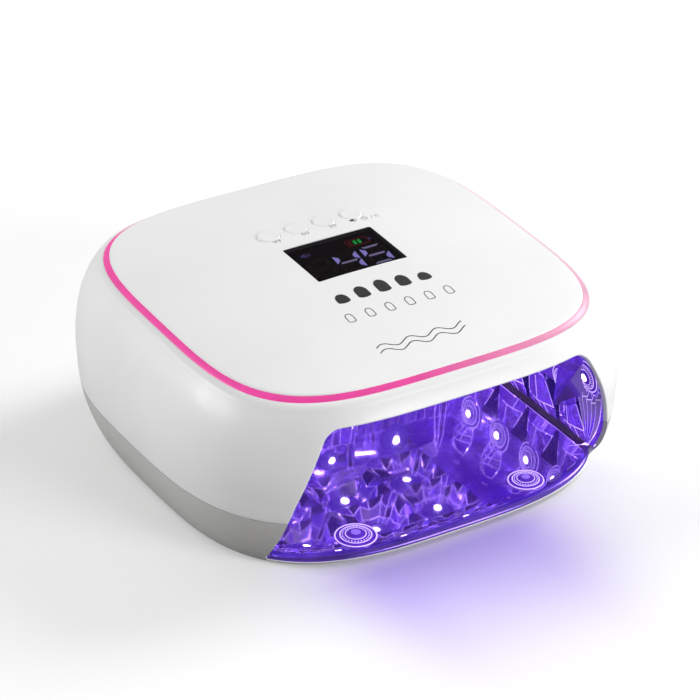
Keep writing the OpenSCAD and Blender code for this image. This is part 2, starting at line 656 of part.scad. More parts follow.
// Centre contact: the free pin in the bore, and a thinner tail through the jack's back wall.
module dc_jack_pin() color("silver") on_plan() at_jack() rotate_extrude($fn = 32) polygon([
    [0, 1], [pin_r - 0.3, 1], [pin_r, 1.3], [pin_r, jack_bore_l - 0.1], [tail_r, jack_bore_l - 0.1],
    [tail_r, jack_l + 0.8], [0, jack_l + 0.8]
]);

module ribbon_cable() color("gray") on_plan() {
    t = 0.9;
    translate([-30, 0, 0]) rotate([90, 0, 90]) linear_extrude(height = 12) polygon([
        [81, driver_top + 0.1], [81 + t, driver_top + 0.1], [81 + t, 83 + t], [44, 83 + t],
        [44, control_z - 0.1], [44 - t, control_z - 0.1], [44 - t, 83], [81, 83]
    ]);
}
module battery_leads() color("firebrick") on_plan() for (x = [-4, -0.5])
    translate([x, 78, driver_top]) rotate([90, 0, 90]) linear_extrude(height = 1.4)
        polygon([[0, 16], [1.4, 16], [3.4, 0.1], [2, 0.1]]);

// ---- fasteners and feet ----------------------------------------------------------------

// Pan head screw pointing up: the head's bearing face is at z = 0.
module screw(head_r, head_h, shank_r, len) difference() {
    union() {
        translate([0, 0, -head_h]) cylinder(r = head_r, h = head_h, $fn = 32);
        cylinder(r = shank_r, h = len, $fn = 24);
    }
    for (a = [0, 90]) rotate([0, 0, a]) translate([-head_r * 0.55, -0.35, -head_h - 0.1])
        cube([head_r * 1.1, 0.7, head_h * 0.6]);
}

module housing_screws() color("silver") on_plan() for (p = screw_spots)
    translate([p[0], p[1], seat_z - 0.02]) screw(2.8, 2, 1.4, 20);
module cover_screws() color("silver") on_plan() for (p = cover_screw_spots)
    translate([p[0], p[1], band_z - ledge_t - 0.2 + tilt_at(band_z) * p[1]]) screw(2, 1.4, 1, 4.6);
module board_screws() color("silver") on_plan() {
    for (p = control_spots) translate([p[0], p[1], control_z - 0.02]) screw(2.3, 1.6, 1.1, 6.5);
    for (p = board_post_spots) translate([p[0], p[1], driver_top + 0.02])
        rotate([180, 0, 0]) screw(2.3, 1.6, 1.1, 6);
}
module led_board_screws() color("silver") on_plan() {
    back = board_back + led_board_t + 0.02;
    at_side_posts() translate([0, 0, back]) rotate([180, 0, 0]) screw(2, 1.2, 0.9, 3.4);
    at_ceiling_posts() translate([0, 0, back]) rotate([180, 0, 0]) screw(2, 1.2, 0.9, 3.4);
    at_back_posts() translate([0, 0, back]) rotate([180, 0, 0]) screw(2, 1.2, 0.9, 3.4);
}

module rubber_feet() color([0.15, 0.15, 0.15]) on_plan() for (p = foot_spots)
    translate([p[0], p[1], 0]) cylinder(r = foot_r, h = foot_h + 0.65, $fn = 48);

lower_housing();
upper_housing();
top_cover();
accent_light_ring();
accent_led_tape();
accent_leds();
display_window();
display_module();
display_segments();
button_99s();
button_60s();
button_30s();
button_power();
plunger_99s();
plunger_60s();
plunger_30s();
plunger_power();
switch_bodies();
control_board();
control_chips();
buzzer();
upper_reflector();
base_reflector();
side_led_boards();
ceiling_led_board();
back_led_board();
base_led_boards();
side_led_lenses();
ceiling_led_lenses();
back_led_lenses();
base_led_lenses();
uv_led_chips();
hand_sensor();
battery_cells();
battery_cradle();
cell_tabs();
charger_board();
driver_board();
inductor();
capacitors();
driver_chips();
dc_jack();
dc_jack_pin();
ribbon_cable();
battery_leads();
housing_screws();
cover_screws();
board_screws();
led_board_screws();
rubber_feet();
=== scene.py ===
"""Looks of the cordless UV nail lamp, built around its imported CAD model.

Helpers work in millimetres in the body's own plan, whose origin is the middle of the body
outline; place() turns that into the frame's metres.
"""

import math

import bmesh
import bpy
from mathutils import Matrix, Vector


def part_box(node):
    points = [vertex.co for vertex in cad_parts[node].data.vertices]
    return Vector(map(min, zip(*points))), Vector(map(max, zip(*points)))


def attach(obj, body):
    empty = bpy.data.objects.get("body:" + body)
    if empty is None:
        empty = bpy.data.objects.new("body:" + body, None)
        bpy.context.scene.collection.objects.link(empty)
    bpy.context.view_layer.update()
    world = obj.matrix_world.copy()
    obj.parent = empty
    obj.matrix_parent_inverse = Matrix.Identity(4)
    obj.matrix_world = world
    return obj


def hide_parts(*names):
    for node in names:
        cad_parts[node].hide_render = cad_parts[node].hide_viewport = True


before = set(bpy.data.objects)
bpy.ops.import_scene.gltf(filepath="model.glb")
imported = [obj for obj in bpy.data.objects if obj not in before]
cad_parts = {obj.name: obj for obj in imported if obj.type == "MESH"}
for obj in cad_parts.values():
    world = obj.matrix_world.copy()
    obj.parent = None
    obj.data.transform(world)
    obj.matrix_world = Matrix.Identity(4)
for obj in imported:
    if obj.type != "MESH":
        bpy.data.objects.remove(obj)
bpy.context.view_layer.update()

# ---- sizes read from the frame, in mm ----

MM = 0.001
BODY = "shell"


def node_box(name):
    low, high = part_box(name)
    return low / MM, high / MM


ring_low, ring_high = node_box("accent_light_ring")
window_low, window_high = node_box("display_window")
housing_high = node_box("upper_housing")[1]

PLAN_Y = (ring_low.y + ring_high.y) / 2
HALF_W = housing_high.x
HALF_D = housing_high.y - PLAN_Y
FOOT_H = node_box("lower_housing")[0].z

# ---- body form, as in the CAD source ----

WAIST_Z = 39.2  # widest ring
PARTING_Z = 29.5  # seam between the tray and the shell
BAND_Z = 84.9  # top of the shell, under the bead
RIM_Z = 89.5  # edge of the cover
PLAN_EXP = 3.22  # squareness of the plan up to the waist, and at the rim
RIM_EXP = 3.84
FOOT_SCALE = 0.893  # size of the foot and the rim, relative to the waist
RIM_SCALE = 0.839
UPPER_SWEEP = math.radians(76.5)  # angle that the side bends through above the waist
CROWN_RISE = 10.5
TILT = 0.03  # rise of the top towards the back, per mm
SHELL_WALL = 2.5
TRAY_WALL = 2.0
SEAM = 0.12


def clamp01(v):
    return max(0.0, min(1.0, v))


def mix(a, b, t):
    return a + (b - a) * t


def smooth(t):
    t = clamp01(t)
    return t * t * (3 - 2 * t)


def body_scale(z):
    """Half size of the body at height z, relative to its widest ring."""
    if z < WAIST_Z:
        c = 1 - z / WAIST_Z
        return FOOT_SCALE + (1 - FOOT_SCALE) * math.sqrt(1 - c * c) ** 1.6
    s = min(1.0, (z - WAIST_Z) / (RIM_Z - WAIST_Z)) * math.sin(UPPER_SWEEP)
    return 1 - (1 - RIM_SCALE) * (1 - math.sqrt(1 - s * s)) / (1 - math.cos(UPPER_SWEEP))


def exp_at(z):
    return mix(PLAN_EXP, RIM_EXP, clamp01((z - WAIST_Z) / (RIM_Z - WAIST_Z)))


def tilt_at(z):
    return TILT * clamp01((z - PARTING_Z) / (RIM_Z - PARTING_Z))


def outline_point(angle, half_w, half_d, exponent):
    """Point of a squarish outline in the direction angle."""
    c, s = math.cos(angle), math.sin(angle)
    r = (abs(c / half_w) ** exponent + abs(s / half_d) ** exponent) ** (-1 / exponent)
    return r * c, r * s


def body_point(angle, z, inset=0.0):
    k = body_scale(z)
    x, y = outline_point(angle, HALF_W * k - inset, HALF_D * k - inset, exp_at(z))
    return Vector((x, y, z + tilt_at(z) * y))


def rim_point(angle, k, z):
    """Point of the top cover's outline, shrunk to the fraction k, at nominal height z."""
    k *= RIM_SCALE
    x, y = outline_point(angle, HALF_W * k, HALF_D * k, RIM_EXP)
    return Vector((x, y, z + TILT * y))


def crown_height(k):
    return RIM_Z + CROWN_RISE * (1 - k * k)


def cover_z(x, y):
    k = (abs(x / HALF_W) ** RIM_EXP + abs(y / HALF_D) ** RIM_EXP) ** (1 / RIM_EXP)
    return crown_height(k / RIM_SCALE) + TILT * y


def solve(f, low, high):
    """Root of f between low and high, where f changes sign."""
    rising = f(high) > f(low)
    for _ in range(48):
        middle = (low + high) / 2
        if (f(middle) < 0) == rising:
            low = middle
        else:
            high = middle
    return (low + high) / 2


class Arch:
    """Half an arched outline: a side that leans in with z squared, a round corner, a flat top."""

    def __init__(self, half_w, lean, radius, top):
        self.half_w, self.lean, self.radius, self.top = half_w, lean, radius, top
        self.corner_z = top - radius
        self.slope = self.slope_at(self.corner_z)
        self.start_z = self.corner_z + radius * math.sin(self.slope)
        self.corner_x = self.side_x(self.start_z) - radius * math.cos(self.slope)

    def slope_at(self, z):
        return math.atan(2 * self.lean * z)

    def side_x(self, z):
        return self.half_w - self.lean * z * z

    def half_width(self, z):
        if z <= self.start_z:
            return self.side_x(z)
        rise = min(z - self.corner_z, self.radius)
        return self.corner_x + math.sqrt(self.radius**2 - rise**2)

    def top_z(self, x):
        run = clamp01((abs(x) - self.corner_x) / self.radius) * self.radius
        return self.corner_z + math.sqrt(self.radius**2 - run**2)


MOUTH = Arch(90.0, 0.0039, 10.0, 75.0)
LIP_Z = 5.6
TRAY_LIP_Z = 2.9  # the tray's front edge, below the curled edge of the mirror floor


def mouth_angle(z):
    """Direction in which the mouth's right edge crosses the body ring at nominal height z."""
    def gap(a):
        p = body_point(a, z)
        return p.x - MOUTH.half_width(p.z)
    return solve(gap, math.radians(-85), math.radians(-25))


def brow_height(angle):
    """Nominal height at which the mouth's top edge crosses the body in a direction."""
    def gap(z):
        p = body_point(angle, z)
        return p.z - MOUTH.top_z(p.x)
    return solve(gap, 60, 84)


CORNER_Z = solve(
    lambda z: body_point(mouth_angle(z), z).z - MOUTH.corner_z - MOUTH.radius * math.sin(math.radians(45)),
    60, 79)
CORNER_ANGLE = mouth_angle(CORNER_Z)

# ---- mesh helpers ----


def place(p):
    """A point of the plan, in mm, as the frame's metres."""
    return Vector((p[0] * MM, (p[1] + PLAN_Y) * MM, p[2] * MM))


WELD_M = 2e-6  # points closer than this, in metres, become one


class Mesh:
    """Gathers patches of points in mm and welds them into one object."""

    def __init__(self):
        self.points, self.faces, self.slots = [], [], []

    def face(self, corners, slot, flip):
        self.faces.append(corners[::-1] if flip else corners)
        self.slots.append(slot)

    def patch(self, rows, closed=False, slot=0, flip=False):
        """Quads between rows of points; closed joins the last column to the first."""
        start, columns = len(self.points), len(rows[0])
        for row in rows:
            self.points.extend(row)
        for r in range(len(rows) - 1):
            for c in range(columns if closed else columns - 1):
                d = (c + 1) % columns
                a, b = start + r * columns, start + (r + 1) * columns
                self.face((a + c, a + d, b + d, b + c), slot(r, c) if callable(slot) else slot, flip)

    def fan(self, ring, centre, slot=0, flip=False):
        start, n = len(self.points), len(ring)
        self.points.extend([*ring, centre])
        for i in range(n):
            self.face((start + i, start + (i + 1) % n, start + n), slot, flip)

    def build(self, name, materials, smooth_angle=35.0, weld=True):
        data = bpy.data.meshes.new(name)
        data.from_pydata([place(p) for p in self.points], [], self.faces)
        data.polygons.foreach_set("material_index", self.slots)
        for material in materials:
            data.materials.append(material)
        if weld:
            with_bmesh(data, lambda work: bmesh.ops.remove_doubles(work, verts=work.verts, dist=WELD_M))
        finish_shading(data, smooth_angle)
        return add_object(name, data)


def add_object(name, data):
    thing = bpy.data.objects.new(name, data)
    bpy.context.scene.collection.objects.link(thing)
    return thing


def with_bmesh(data, change):
    """Runs change on the mesh's points, edges and faces."""
    work = bmesh.new()
    work.from_mesh(data)
    change(work)
    work.to_mesh(data)
    work.free()


def finish_shading(data, smooth_angle):
    """Smooth shading that breaks at edges sharper than smooth_angle degrees."""
    if smooth_angle is None:
        return
    data.polygons.foreach_set("use_smooth", [True] * len(data.polygons))
    data.set_sharp_from_angle(angle=math.radians(smooth_angle))


def fit(piece, body, node=None):
    """Names the body a piece rides on, and the CAD node that it stands in for."""
    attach(piece, body)
    if node:
        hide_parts(node)
    return piece


def modify(piece, kind, **values):
    modifier = piece.modifiers.new(kind.title(), kind)
    for key, value in values.items():
        setattr(modifier, key, value)
    return modifier


def thicken(piece, wall):
    modify(piece, "SOLIDIFY", thickness=wall * MM, offset=-1, use_even_offset=True)


def round_edges(piece, width, segments, angle=40, **others):
    """Bevels the edges that are sharper than angle degrees."""
    modify(piece, "BEVEL", width=width * MM, segments=segments, limit_method="ANGLE",
           angle_limit=math.radians(angle), **others)


def apply_modifiers(piece):
    bpy.context.view_layer.objects.active = piece
    for modifier in list(piece.modifiers):
        bpy.ops.object.modifier_apply(modifier=modifier.name)


def span(low, high, count):
    return [low + (high - low) * i / (count - 1) for i in range(count)]


def turn(count, start=0.0):
    return [start + 2 * math.pi * i / count for i in range(count)]


def circle(x, y, radius, count=64):
    return [(x + radius * math.cos(a), y + radius * math.sin(a)) for a in turn(count)]


def lathe(profile, count=48, base=(0, 0, 0)):
    """Rows of points for a profile of (radius, height), about +Z at base."""
    return [[Vector((x, y, z)) + Vector(base) for x, y in circle(0, 0, r, count)] for r, z in profile]


def cutter(name, rows):
    """Closed form that is cut out of a shell."""
    mesh = Mesh()
    mesh.patch(rows, closed=True)
    for row, flip in ((rows[0], True), (rows[-1], False)):
        mesh.fan(row, sum(row, Vector((0, 0, 0))) / len(row), flip=flip)
    return mesh.build(name, [], smooth_angle=None)


def upright_cutter(name, outline, low, high):
    return cutter(name, [[Vector((x, y, z)) for x, y in outline] for z in (low, high)])


def rounded_rectangle(half_w, half_d, radius, steps=6):
    points = []
    for quarter in range(4):
        cx = (half_w - radius) * (1 if quarter in (0, 3) else -1)
        cy = (half_d - radius) * (1 if quarter in (0, 1) else -1)
        for i in range(steps + 1):
            a = math.radians(90 * quarter + 90 * i / steps)
            points.append((cx + radius * math.cos(a), cy + radius * math.sin(a)))
    return points


def tube_cutter(name, start, axis, radius, low, high):
    axis = Vector(axis)
    u = axis.orthogonal().normalized()
    v = axis.cross(u)
    return cutter(name, [[Vector(start) + axis * t + (u * x + v * y) * radius for x, y in circle(0, 0, 1, 48)]
                         for t in (low, high)])


def cut(piece, cutters):
    """Takes the cutters' forms out of the piece in one step and removes the cutters."""
    first, *others = cutters
    with_bmesh(first.data, lambda work: [work.from_mesh(tool.data) for tool in others])
    modify(piece, "BOOLEAN", operation="DIFFERENCE", object=first, solver="EXACT")
    apply_modifiers(piece)
    for tool in cutters:
        bpy.data.objects.remove(tool)

# ---- materials ----


class Nodes:
    """The shader nodes of a new material, or of the world given, under construction."""

    def __init__(self, name, world=None):
        self.owner = world or bpy.data.materials.new(name)
        self.owner.use_nodes = True
        self.tree = self.owner.node_tree
        self.tree.nodes.clear()
        self.output = self.add("OutputWorld" if world else "OutputMaterial")
        self.coordinates = self.add("TexCoord").outputs["Generated" if world else "Object"]

    def add(self, kind, inputs=None, **settings):
        """A node with its settings made, and its inputs set to plain values or fed from other nodes."""
        node = self.tree.nodes.new("ShaderNode" + kind)
        for key, value in settings.items():
            setattr(node, key, value)
        for key, value in (inputs or {}).items():
            if isinstance(value, bpy.types.NodeSocket):
                self.tree.links.new(value, node.inputs[key])
            else:
                node.inputs[key].default_value = value
        return node

    def noise(self, scale, detail=3.0):
        inputs = {"Scale": scale, "Detail": detail, "Roughness": 0.5, "Vector": self.coordinates}
        return self.add("TexNoise", inputs).outputs["Fac"]

    def remap(self, value, low, high, from_low=0.3, from_high=0.7):
        inputs = {"Value": value, "From Min": from_low, "From Max": from_high, "To Min": low, "To Max": high}
        return self.add("MapRange", inputs).outputs["Result"]

    def maths(self, operation, *values):
        return self.add("Math", dict(enumerate(values)), operation=operation).outputs[0]

    def blend_colour(self, factor, a, b):
        node = self.add("Mix", {"Factor": factor}, data_type="RGBA")
        first, second = [s for s in node.inputs if s.type == "RGBA"]
        first.default_value, second.default_value = (*a, 1), (*b, 1)
        return [s for s in node.outputs if s.type == "RGBA"][0]

    def bump(self, height, strength, depth_mm):
        inputs = {"Strength": strength, "Distance": depth_mm * MM, "Height": height}
        return self.add("Bump", inputs).outputs["Normal"]

    def principled(self, colour, roughness, **others):
        """A Principled shader; an underscore in a name stands for the space in its input's name."""
        inputs = {"Base Color": colour, "Roughness": roughness}
        inputs.update((key.replace("_", " "), value) for key, value in others.items())
        return self.add("BsdfPrincipled", inputs).outputs[0]

    def mixed(self, factor, first, second):
        return self.add("MixShader", {"Fac": factor, 1: first, 2: second}).outputs[0]

    def surface(self, shader):
        self.tree.links.new(shader, self.output.inputs["Surface"])
        return self.owner


def shade(colour, factor):
    return tuple(clamp01(c * factor) for c in colour)


def moulded(name, colour, roughness=0.4, grain=900.0, grain_depth=0.012, drift=0.03, coat=0.0):
    """Moulded plastic: slow colour drift, uneven gloss and a fine mould grain."""
    n = Nodes(name)
    drifting = n.remap(n.noise(14.0), 0, 1)
    return n.surface(n.principled(
        n.blend_colour(drifting, shade(colour, 1 - drift), shade(colour, 1 + drift / 2)),
        n.remap(n.noise(60.0, 4.0), roughness * 0.88, roughness * 1.12), IOR=1.48,
        Normal=n.bump(n.noise(grain, 2.0), 0.35, grain_depth), Coat_Weight=coat, Coat_Roughness=0.12))


def metal(name, colour, roughness):
    """Plain metal with a brushed unevenness."""
    n = Nodes(name)
    return n.surface(n.principled(
        n.blend_colour(n.remap(n.noise(40.0), 0, 1), shade(colour, 0.85), colour),
        n.remap(n.noise(300.0, 4.0), roughness * 0.7, roughness * 1.3),
        Metallic=1.0, Normal=n.bump(n.noise(600.0, 2.0), 0.3, 0.01)))


white = moulded("white_shell", (0.86, 0.86, 0.865), roughness=0.42, coat=0.08)
cover_white = moulded("white_cover", (0.87, 0.87, 0.872), roughness=0.48)
button_white = moulded("white_button", (0.85, 0.85, 0.855), roughness=0.4)
# painted shade: the tray is white plastic like the shell; its grey stands in for the shade on its undercut
# side
tray_shade_grey = moulded("tray_painted_shade", (0.58, 0.575, 0.56), roughness=0.42)


def glowing(name, colour, strength, gloss=0.25, drift=0.25):
    """Translucent plastic lit from behind, a little unevenly."""
    n = Nodes(name)
    uneven = n.remap(n.noise(60.0), 0, 1)
    return n.surface(n.principled(
        n.blend_colour(uneven, shade(colour, 0.8), colour), gloss, Emission_Strength=strength,
        Emission_Color=n.blend_colour(uneven, shade(colour, 1 - drift), colour),
        Normal=n.bump(n.noise(360.0), 0.2, 0.01)))


def accent_glow():
    """The ring glows deep pink; towards +x its emission colour is painted paler, standing in for the key
    light washing it out on the lit side.
    """
    n = Nodes("accent_glow")
    split = n.add("SeparateXYZ", {0: n.coordinates})
    # painted wash-out: the glow pales with x, towards the key light
    across = n.remap(split.outputs["X"], 0.0, 1.0, -0.02, HALF_W * RIM_SCALE * MM)
    return n.surface(n.principled(
        (0.05, 0.01, 0.03, 1), 0.35, Emission_Strength=n.remap(n.noise(90.0), 0.88, 1.0),
        Emission_Color=n.blend_colour(across, (0.80, 0.055, 0.33), (0.80, 0.42, 0.56))))


def mirror(name, tint, glow, glow_strength, haze=0.35, waves=0.0, wave_scale=45.0):
    """Coated plastic mirror: sharp and hazy reflections on a slightly wavy face, with the UV light's glow
    painted on as emission.
    """
    n = Nodes(name)
    stain = n.blend_colour(n.remap(n.noise(25.0), 0, 1), shade(tint, 0.8), tint)
    # painted light: this emission stands in for the violet UV light that fills the chamber
    light = n.blend_colour(n.remap(n.noise(38.0, 2.0), 0, 1), shade(glow, 0.15), glow)
    face = {"Normal": n.bump(n.noise(wave_scale, 1.5), 1.0, waves)} if waves else {}
    layers = [n.principled(stain, n.remap(n.noise(45.0, 4.0), least, most), Metallic=1.0,
                           Emission_Color=light, Emission_Strength=glow_strength, **face)
              for least, most in ((0.015, 0.06), (0.17, 0.3))]
    return n.surface(n.mixed(haze, *layers))


def smoked_glass():
    n = Nodes("smoked_glass")
    clear = n.add("BsdfTransparent", {"Color": (0.55, 0.53, 0.56, 1)}).outputs[0]
    rough = n.remap(n.noise(80.0, 4.0), 0.05, 0.12)
    gloss = n.principled((0.006, 0.004, 0.006, 1), rough, Specular_IOR_Level=0.06)
    return n.surface(n.mixed(0.35, clear, gloss))


# The chrome is neutral: the violet tints and the emissions paint the UV light on it.
chamber_mirror = mirror("chamber_mirror", (0.62, 0.48, 0.98), (0.30, 0.07, 1.0), 0.2, waves=0.3)
# darker copy: painted shade and painted dark reflections
shadow_mirror = mirror("shadow_mirror", (0.10, 0.06, 0.26), (0.20, 0.08, 0.7), 0.012, haze=0.7)
floor_mirror = mirror("floor_mirror", (0.72, 0.58, 1.0), (0.30, 0.07, 1.0), 0.07,
                      haze=0.2, waves=0.22, wave_scale=30.0)
rolled_mirror = mirror("rolled_mirror", (0.16, 0.10, 0.50), (0.26, 0.10, 1.0), 0.30, haze=1.0, waves=0.3)
# copy with stronger emission: a painted brighter glow
painted_glow_mirror = mirror("painted_glow_mirror", (0.44, 0.32, 0.92), (0.26, 0.07, 1.0), 0.30)
# strong emission: painted glints along the facet edges
painted_glint_mirror = mirror("painted_glint_mirror", (0.88, 0.76, 1.0), (0.62, 0.42, 1.0), 1.25, haze=0.2)
MIRRORS = [chamber_mirror, shadow_mirror, painted_glow_mirror, painted_glint_mirror]
CLEAR, SHADOW, PAINTED_GLOW, BRIGHT = range(4)
lens_body = glowing("lens_body", (0.14, 0.04, 0.62), 0.28, gloss=0.08)
lens_edge = glowing("lens_edge", (0.70, 0.50, 1.0), 0.95, gloss=0.1)
lens_core = glowing("lens_core", (0.88, 0.76, 1.0), 12.0, gloss=0.1)
dim_core = glowing("dim_core", (0.30, 0.16, 0.85), 0.7, gloss=0.05)

# ---- shells ----

SIDE_COLUMNS = 192
FRONT_COLUMNS = 64


def side_angle(u, z):
    """Direction of column u of the side walls, from the mouth's right edge round the back to its left."""
    base = mix(CORNER_ANGLE, math.pi - CORNER_ANGLE, u)
    shift = mouth_angle(min(z, CORNER_Z)) - CORNER_ANGLE
    if base < 0:
        return base + shift * smooth(base / CORNER_ANGLE)
    if base > math.pi:
        return base - shift * smooth((base - math.pi) / -CORNER_ANGLE)
    return base


def side_row(z, inset=0.0):
    return [body_point(side_angle(i / SIDE_COLUMNS, z), z, inset) for i in range(SIDE_COLUMNS + 1)]


def upper_shell():
    mesh = Mesh()
    mesh.patch([side_row(z) for z in span(PARTING_Z + SEAM, CORNER_Z, 24)])
    mesh.patch([side_row(z) for z in span(CORNER_Z, BAND_Z, 11)])
    angles = span(CORNER_ANGLE, -math.pi - CORNER_ANGLE, FRONT_COLUMNS + 1)
    starts = [CORNER_Z] + [brow_height(a) for a in angles[1:-1]] + [CORNER_Z]
    mesh.patch([[body_point(a, mix(z, BAND_Z, k / 10)) for a, z in zip(angles, starts)] for k in range(11)],
               flip=True)
    piece = mesh.build("upper_shell", [white], smooth_angle=180)
    thicken(piece, SHELL_WALL)
    round_edges(piece, 0.6, 4)
    modify(piece, "WEIGHTED_NORMAL")
    return piece


JACK_Z = 17.2
JACK_HOLE_R = 4.2
VENT_X = range(-28, 29, 7)
VENT_Y = 72
WELL_R = 3.1
WELL_TOP = 19.6
SCREW_HOLE_R = 1.7
SCREW_SPOTS = [(sx * x, y) for x, y in ((97, -38), (97, 38), (58, 89)) for sx in (-1, 1)]


def screw_wells():
    """Sleeves that lead to the housing screws."""
    mesh = Mesh()
    top, outer = WELL_TOP + 1.2, WELL_R + 0.9
    profile = [(WELL_R, FOOT_H + 0.1), (WELL_R, WELL_TOP), (SCREW_HOLE_R, WELL_TOP), (SCREW_HOLE_R, top),
               (outer, top), (outer, FOOT_H + 0.4)]
    for x, y in SCREW_SPOTS:
        rows = lathe(profile, 40, (x, y, 0))
        mesh.patch(rows + [rows[0]], closed=True, flip=True)
    return mesh.build("screw_wells", [tray_shade_grey], smooth_angle=40)


def lower_tray():
    mesh = Mesh()
    lip_columns = 72
    right = mouth_angle(LIP_Z)
    front = span(right, -math.pi - right, lip_columns + 1)
    around = [side_angle(i / SIDE_COLUMNS, LIP_Z) for i in range(SIDE_COLUMNS + 1)]
    band = [FOOT_H + 0.5, 2.4, TRAY_LIP_Z, 4.3, LIP_Z]
    mesh.patch([[body_point(a, z) for a in around] for z in band])
    mesh.patch([[body_point(a, z) for a in front] for z in band[:3]], flip=True, slot=1)
    mesh.patch([side_row(z) for z in span(LIP_Z, PARTING_Z - SEAM, 16)])
    ring = around[:-1] + front[::-1][:-1]

    def bottom(inset):
        half_w, half_d = HALF_W * FOOT_SCALE - inset, HALF_D * FOOT_SCALE - inset
        return [Vector((*outline_point(a, half_w, half_d, PLAN_EXP), FOOT_H)) for a in ring]

    rows = [[body_point(a, FOOT_H + 0.5) for a in ring]] + [bottom(inset) for inset in (0.6, 3, 20, 60)]
    mesh.patch(rows, closed=True, flip=True)
    mesh.fan(rows[-1], Vector((0, 0, FOOT_H)), flip=True)
    piece = mesh.build("lower_tray", [tray_shade_grey, white], smooth_angle=180)
    thicken(piece, TRAY_WALL)
    cutters = [tube_cutter("jack_cut", (0, HALF_D, JACK_Z), (0, -1, 0), JACK_HOLE_R, -3, 14)]
    cutters += [tube_cutter("well_cut", (x, y, 0), (0, 0, 1), WELL_R, -1, 12) for x, y in SCREW_SPOTS]
    for cx in VENT_X:
        slot = [(cx + x, VENT_Y + y) for x, y in rounded_rectangle(1.2, 10, 1.1)]
        cutters.append(upright_cutter("vent_cut", slot, -1, 6))
    cut(piece, cutters)
    round_edges(piece, 0.4, 3)
    modify(piece, "WEIGHTED_NORMAL")
    return piece


BEAD_H = 2.25
RING_LOW = BAND_Z + BEAD_H
RING_HIGH = RIM_Z - 0.45


def body_ring(name, profile, material, smooth_angle):
    """A ring round the body with a closed section of (distance inside the outline, height)."""
    rows = [[body_point(a, z, inset) for a in turn(288)] for inset, z in profile]
    mesh = Mesh()
    mesh.patch(rows + [rows[0]], closed=True)
    return mesh.build(name, [material], smooth_angle)


def seam_bead():
    """Raised white bead that grows out of the shell's shoulder, just under the lit ring."""
    profile = [(0.9, -1.7), (0.35, -1.5), (0.1, -1.0), (-0.04, -0.5), (-0.16, 0.1), (-0.22, 0.7),
               (-0.18, 1.3), (0.0, 1.8), (0.3, 2.12), (0.7, BEAD_H), (3.2, BEAD_H), (3.2, -1.7)]
    return body_ring("seam_bead", [(inset, BAND_Z + up) for inset, up in profile], white, 60)


def lit_ring():
    """The pink light guide, set back between the bead and the cover."""
    middle = (RING_LOW + RING_HIGH) / 2
    profile = [(1.6, RING_LOW), (0.75, RING_LOW), (0.6, RING_LOW + 0.3), (0.52, middle),
               (0.6, RING_HIGH - 0.3), (0.75, RING_HIGH), (1.6, RING_HIGH)]
    return body_ring("lit_ring", profile, accent_glow(), 40)


BUTTON_NAMES = ("99s", "60s", "30s", "power")
COVER_T = 2.4
COVER_EDGE_DROP = 0.55
BUTTON_R = 5.6
BUTTON_HOLE_R = 5.68
CAP_DEPTH = 3.0


def button_centre(name):
    low, high = node_box("button_" + name)
    return (low.x + high.x) / 2, (low.y + high.y) / 2 - PLAN_Y


WINDOW_HALF_W = (window_high.x - window_low.x) / 2
WINDOW_HALF_D = (window_high.y - window_low.y) / 2
WINDOW_Y = (window_high.y + window_low.y) / 2 - PLAN_Y
WINDOW_Z = (window_high.z + window_low.z) / 2


def on_window(x, y, z):
    """Point on the display's tilted plane, z above the window's middle."""
    return Vector((x, WINDOW_Y + y, WINDOW_Z + z + TILT * y))


def top_cover():
    mesh = Mesh()
    angles = turn(256)
    rounding = 0.992  # share of the half width where the rounded edge begins
    shares = [1.0, 0.9995, 0.998, 0.9955, rounding] + [0.98 - 0.94 * (i / 26) for i in range(27)]
    rows = [[rim_point(a, k, crown_height(k) - COVER_T) for a in angles] for k in (0.04, 0.4, 0.7, 0.9)]
    rows.append([rim_point(a, 0.9, RIM_Z - COVER_EDGE_DROP) for a in angles])
    rows.append([rim_point(a, 0.9985, RIM_Z - COVER_EDGE_DROP) for a in angles])
    for k in shares:
        drop = COVER_EDGE_DROP * (1 - math.sqrt(clamp01(1 - clamp01((k - rounding) / (1 - rounding)) ** 2)))
        rows.append([rim_point(a, k, crown_height(k) - drop + 0.05) for a in angles])
    mesh.patch(rows, closed=True)
    mesh.fan(rows[0], Vector((0, 0, crown_height(0) - COVER_T)), flip=True)
    mesh.fan(rows[-1], Vector((0, 0, crown_height(0))))
    piece = mesh.build("crowned_cover", [cover_white], smooth_angle=50)
    window = rounded_rectangle(WINDOW_HALF_W + 0.15, WINDOW_HALF_D + 0.15, 0.7)
    cutters = [cutter("window_cut", [[on_window(x, y, z) for x, y in window] for z in (-6, 6)])]
    for name in BUTTON_NAMES:
        cutters.append(upright_cutter("cut_" + name, circle(*button_centre(name), BUTTON_HOLE_R), 90, 106))
    cut(piece, cutters)
    finish_shading(piece.data, 40)
    round_edges(piece, 0.18, 2, angle=60)
    return piece


def push_button(name):
    """A cap that stands a hair proud of the cover, with a rounded edge and a slightly dished crown."""
    x, y = button_centre(name)
    top = cover_z(x, y)
    profile = [(BUTTON_R, -CAP_DEPTH), (BUTTON_R, -0.1), (5.56, 0.1), (5.46, 0.28), (5.3, 0.42), (5.05, 0.52),
               (4.7, 0.56), (4.2, 0.54), (3.0, 0.46), (1.5, 0.41), (0.01, 0.4)]
    mesh = Mesh()
    rows = [[p + Vector((x, y, top + TILT * p.y)) for p in row] for row in lathe(profile, 64)]
    mesh.patch(rows, closed=True)
    foot = top - CAP_DEPTH
    mesh.fan([Vector((u, v, foot)) for u, v in circle(x, y, BUTTON_R)], Vector((x, y, foot)), flip=True)
    return mesh.build("cap_" + name, [button_white], smooth_angle=50)


fit(upper_shell(), BODY, "upper_housing")
fit(lower_tray(), BODY, "lower_housing")
fit(seam_bead(), BODY)
fit(lit_ring(), BODY, "accent_light_ring")
fit(top_cover(), BODY, "top_cover")
fit(screw_wells(), BODY)
for name in BUTTON_NAMES:
    fit(push_button(name), "button_" + name, "button_" + name)

# ---- display ----

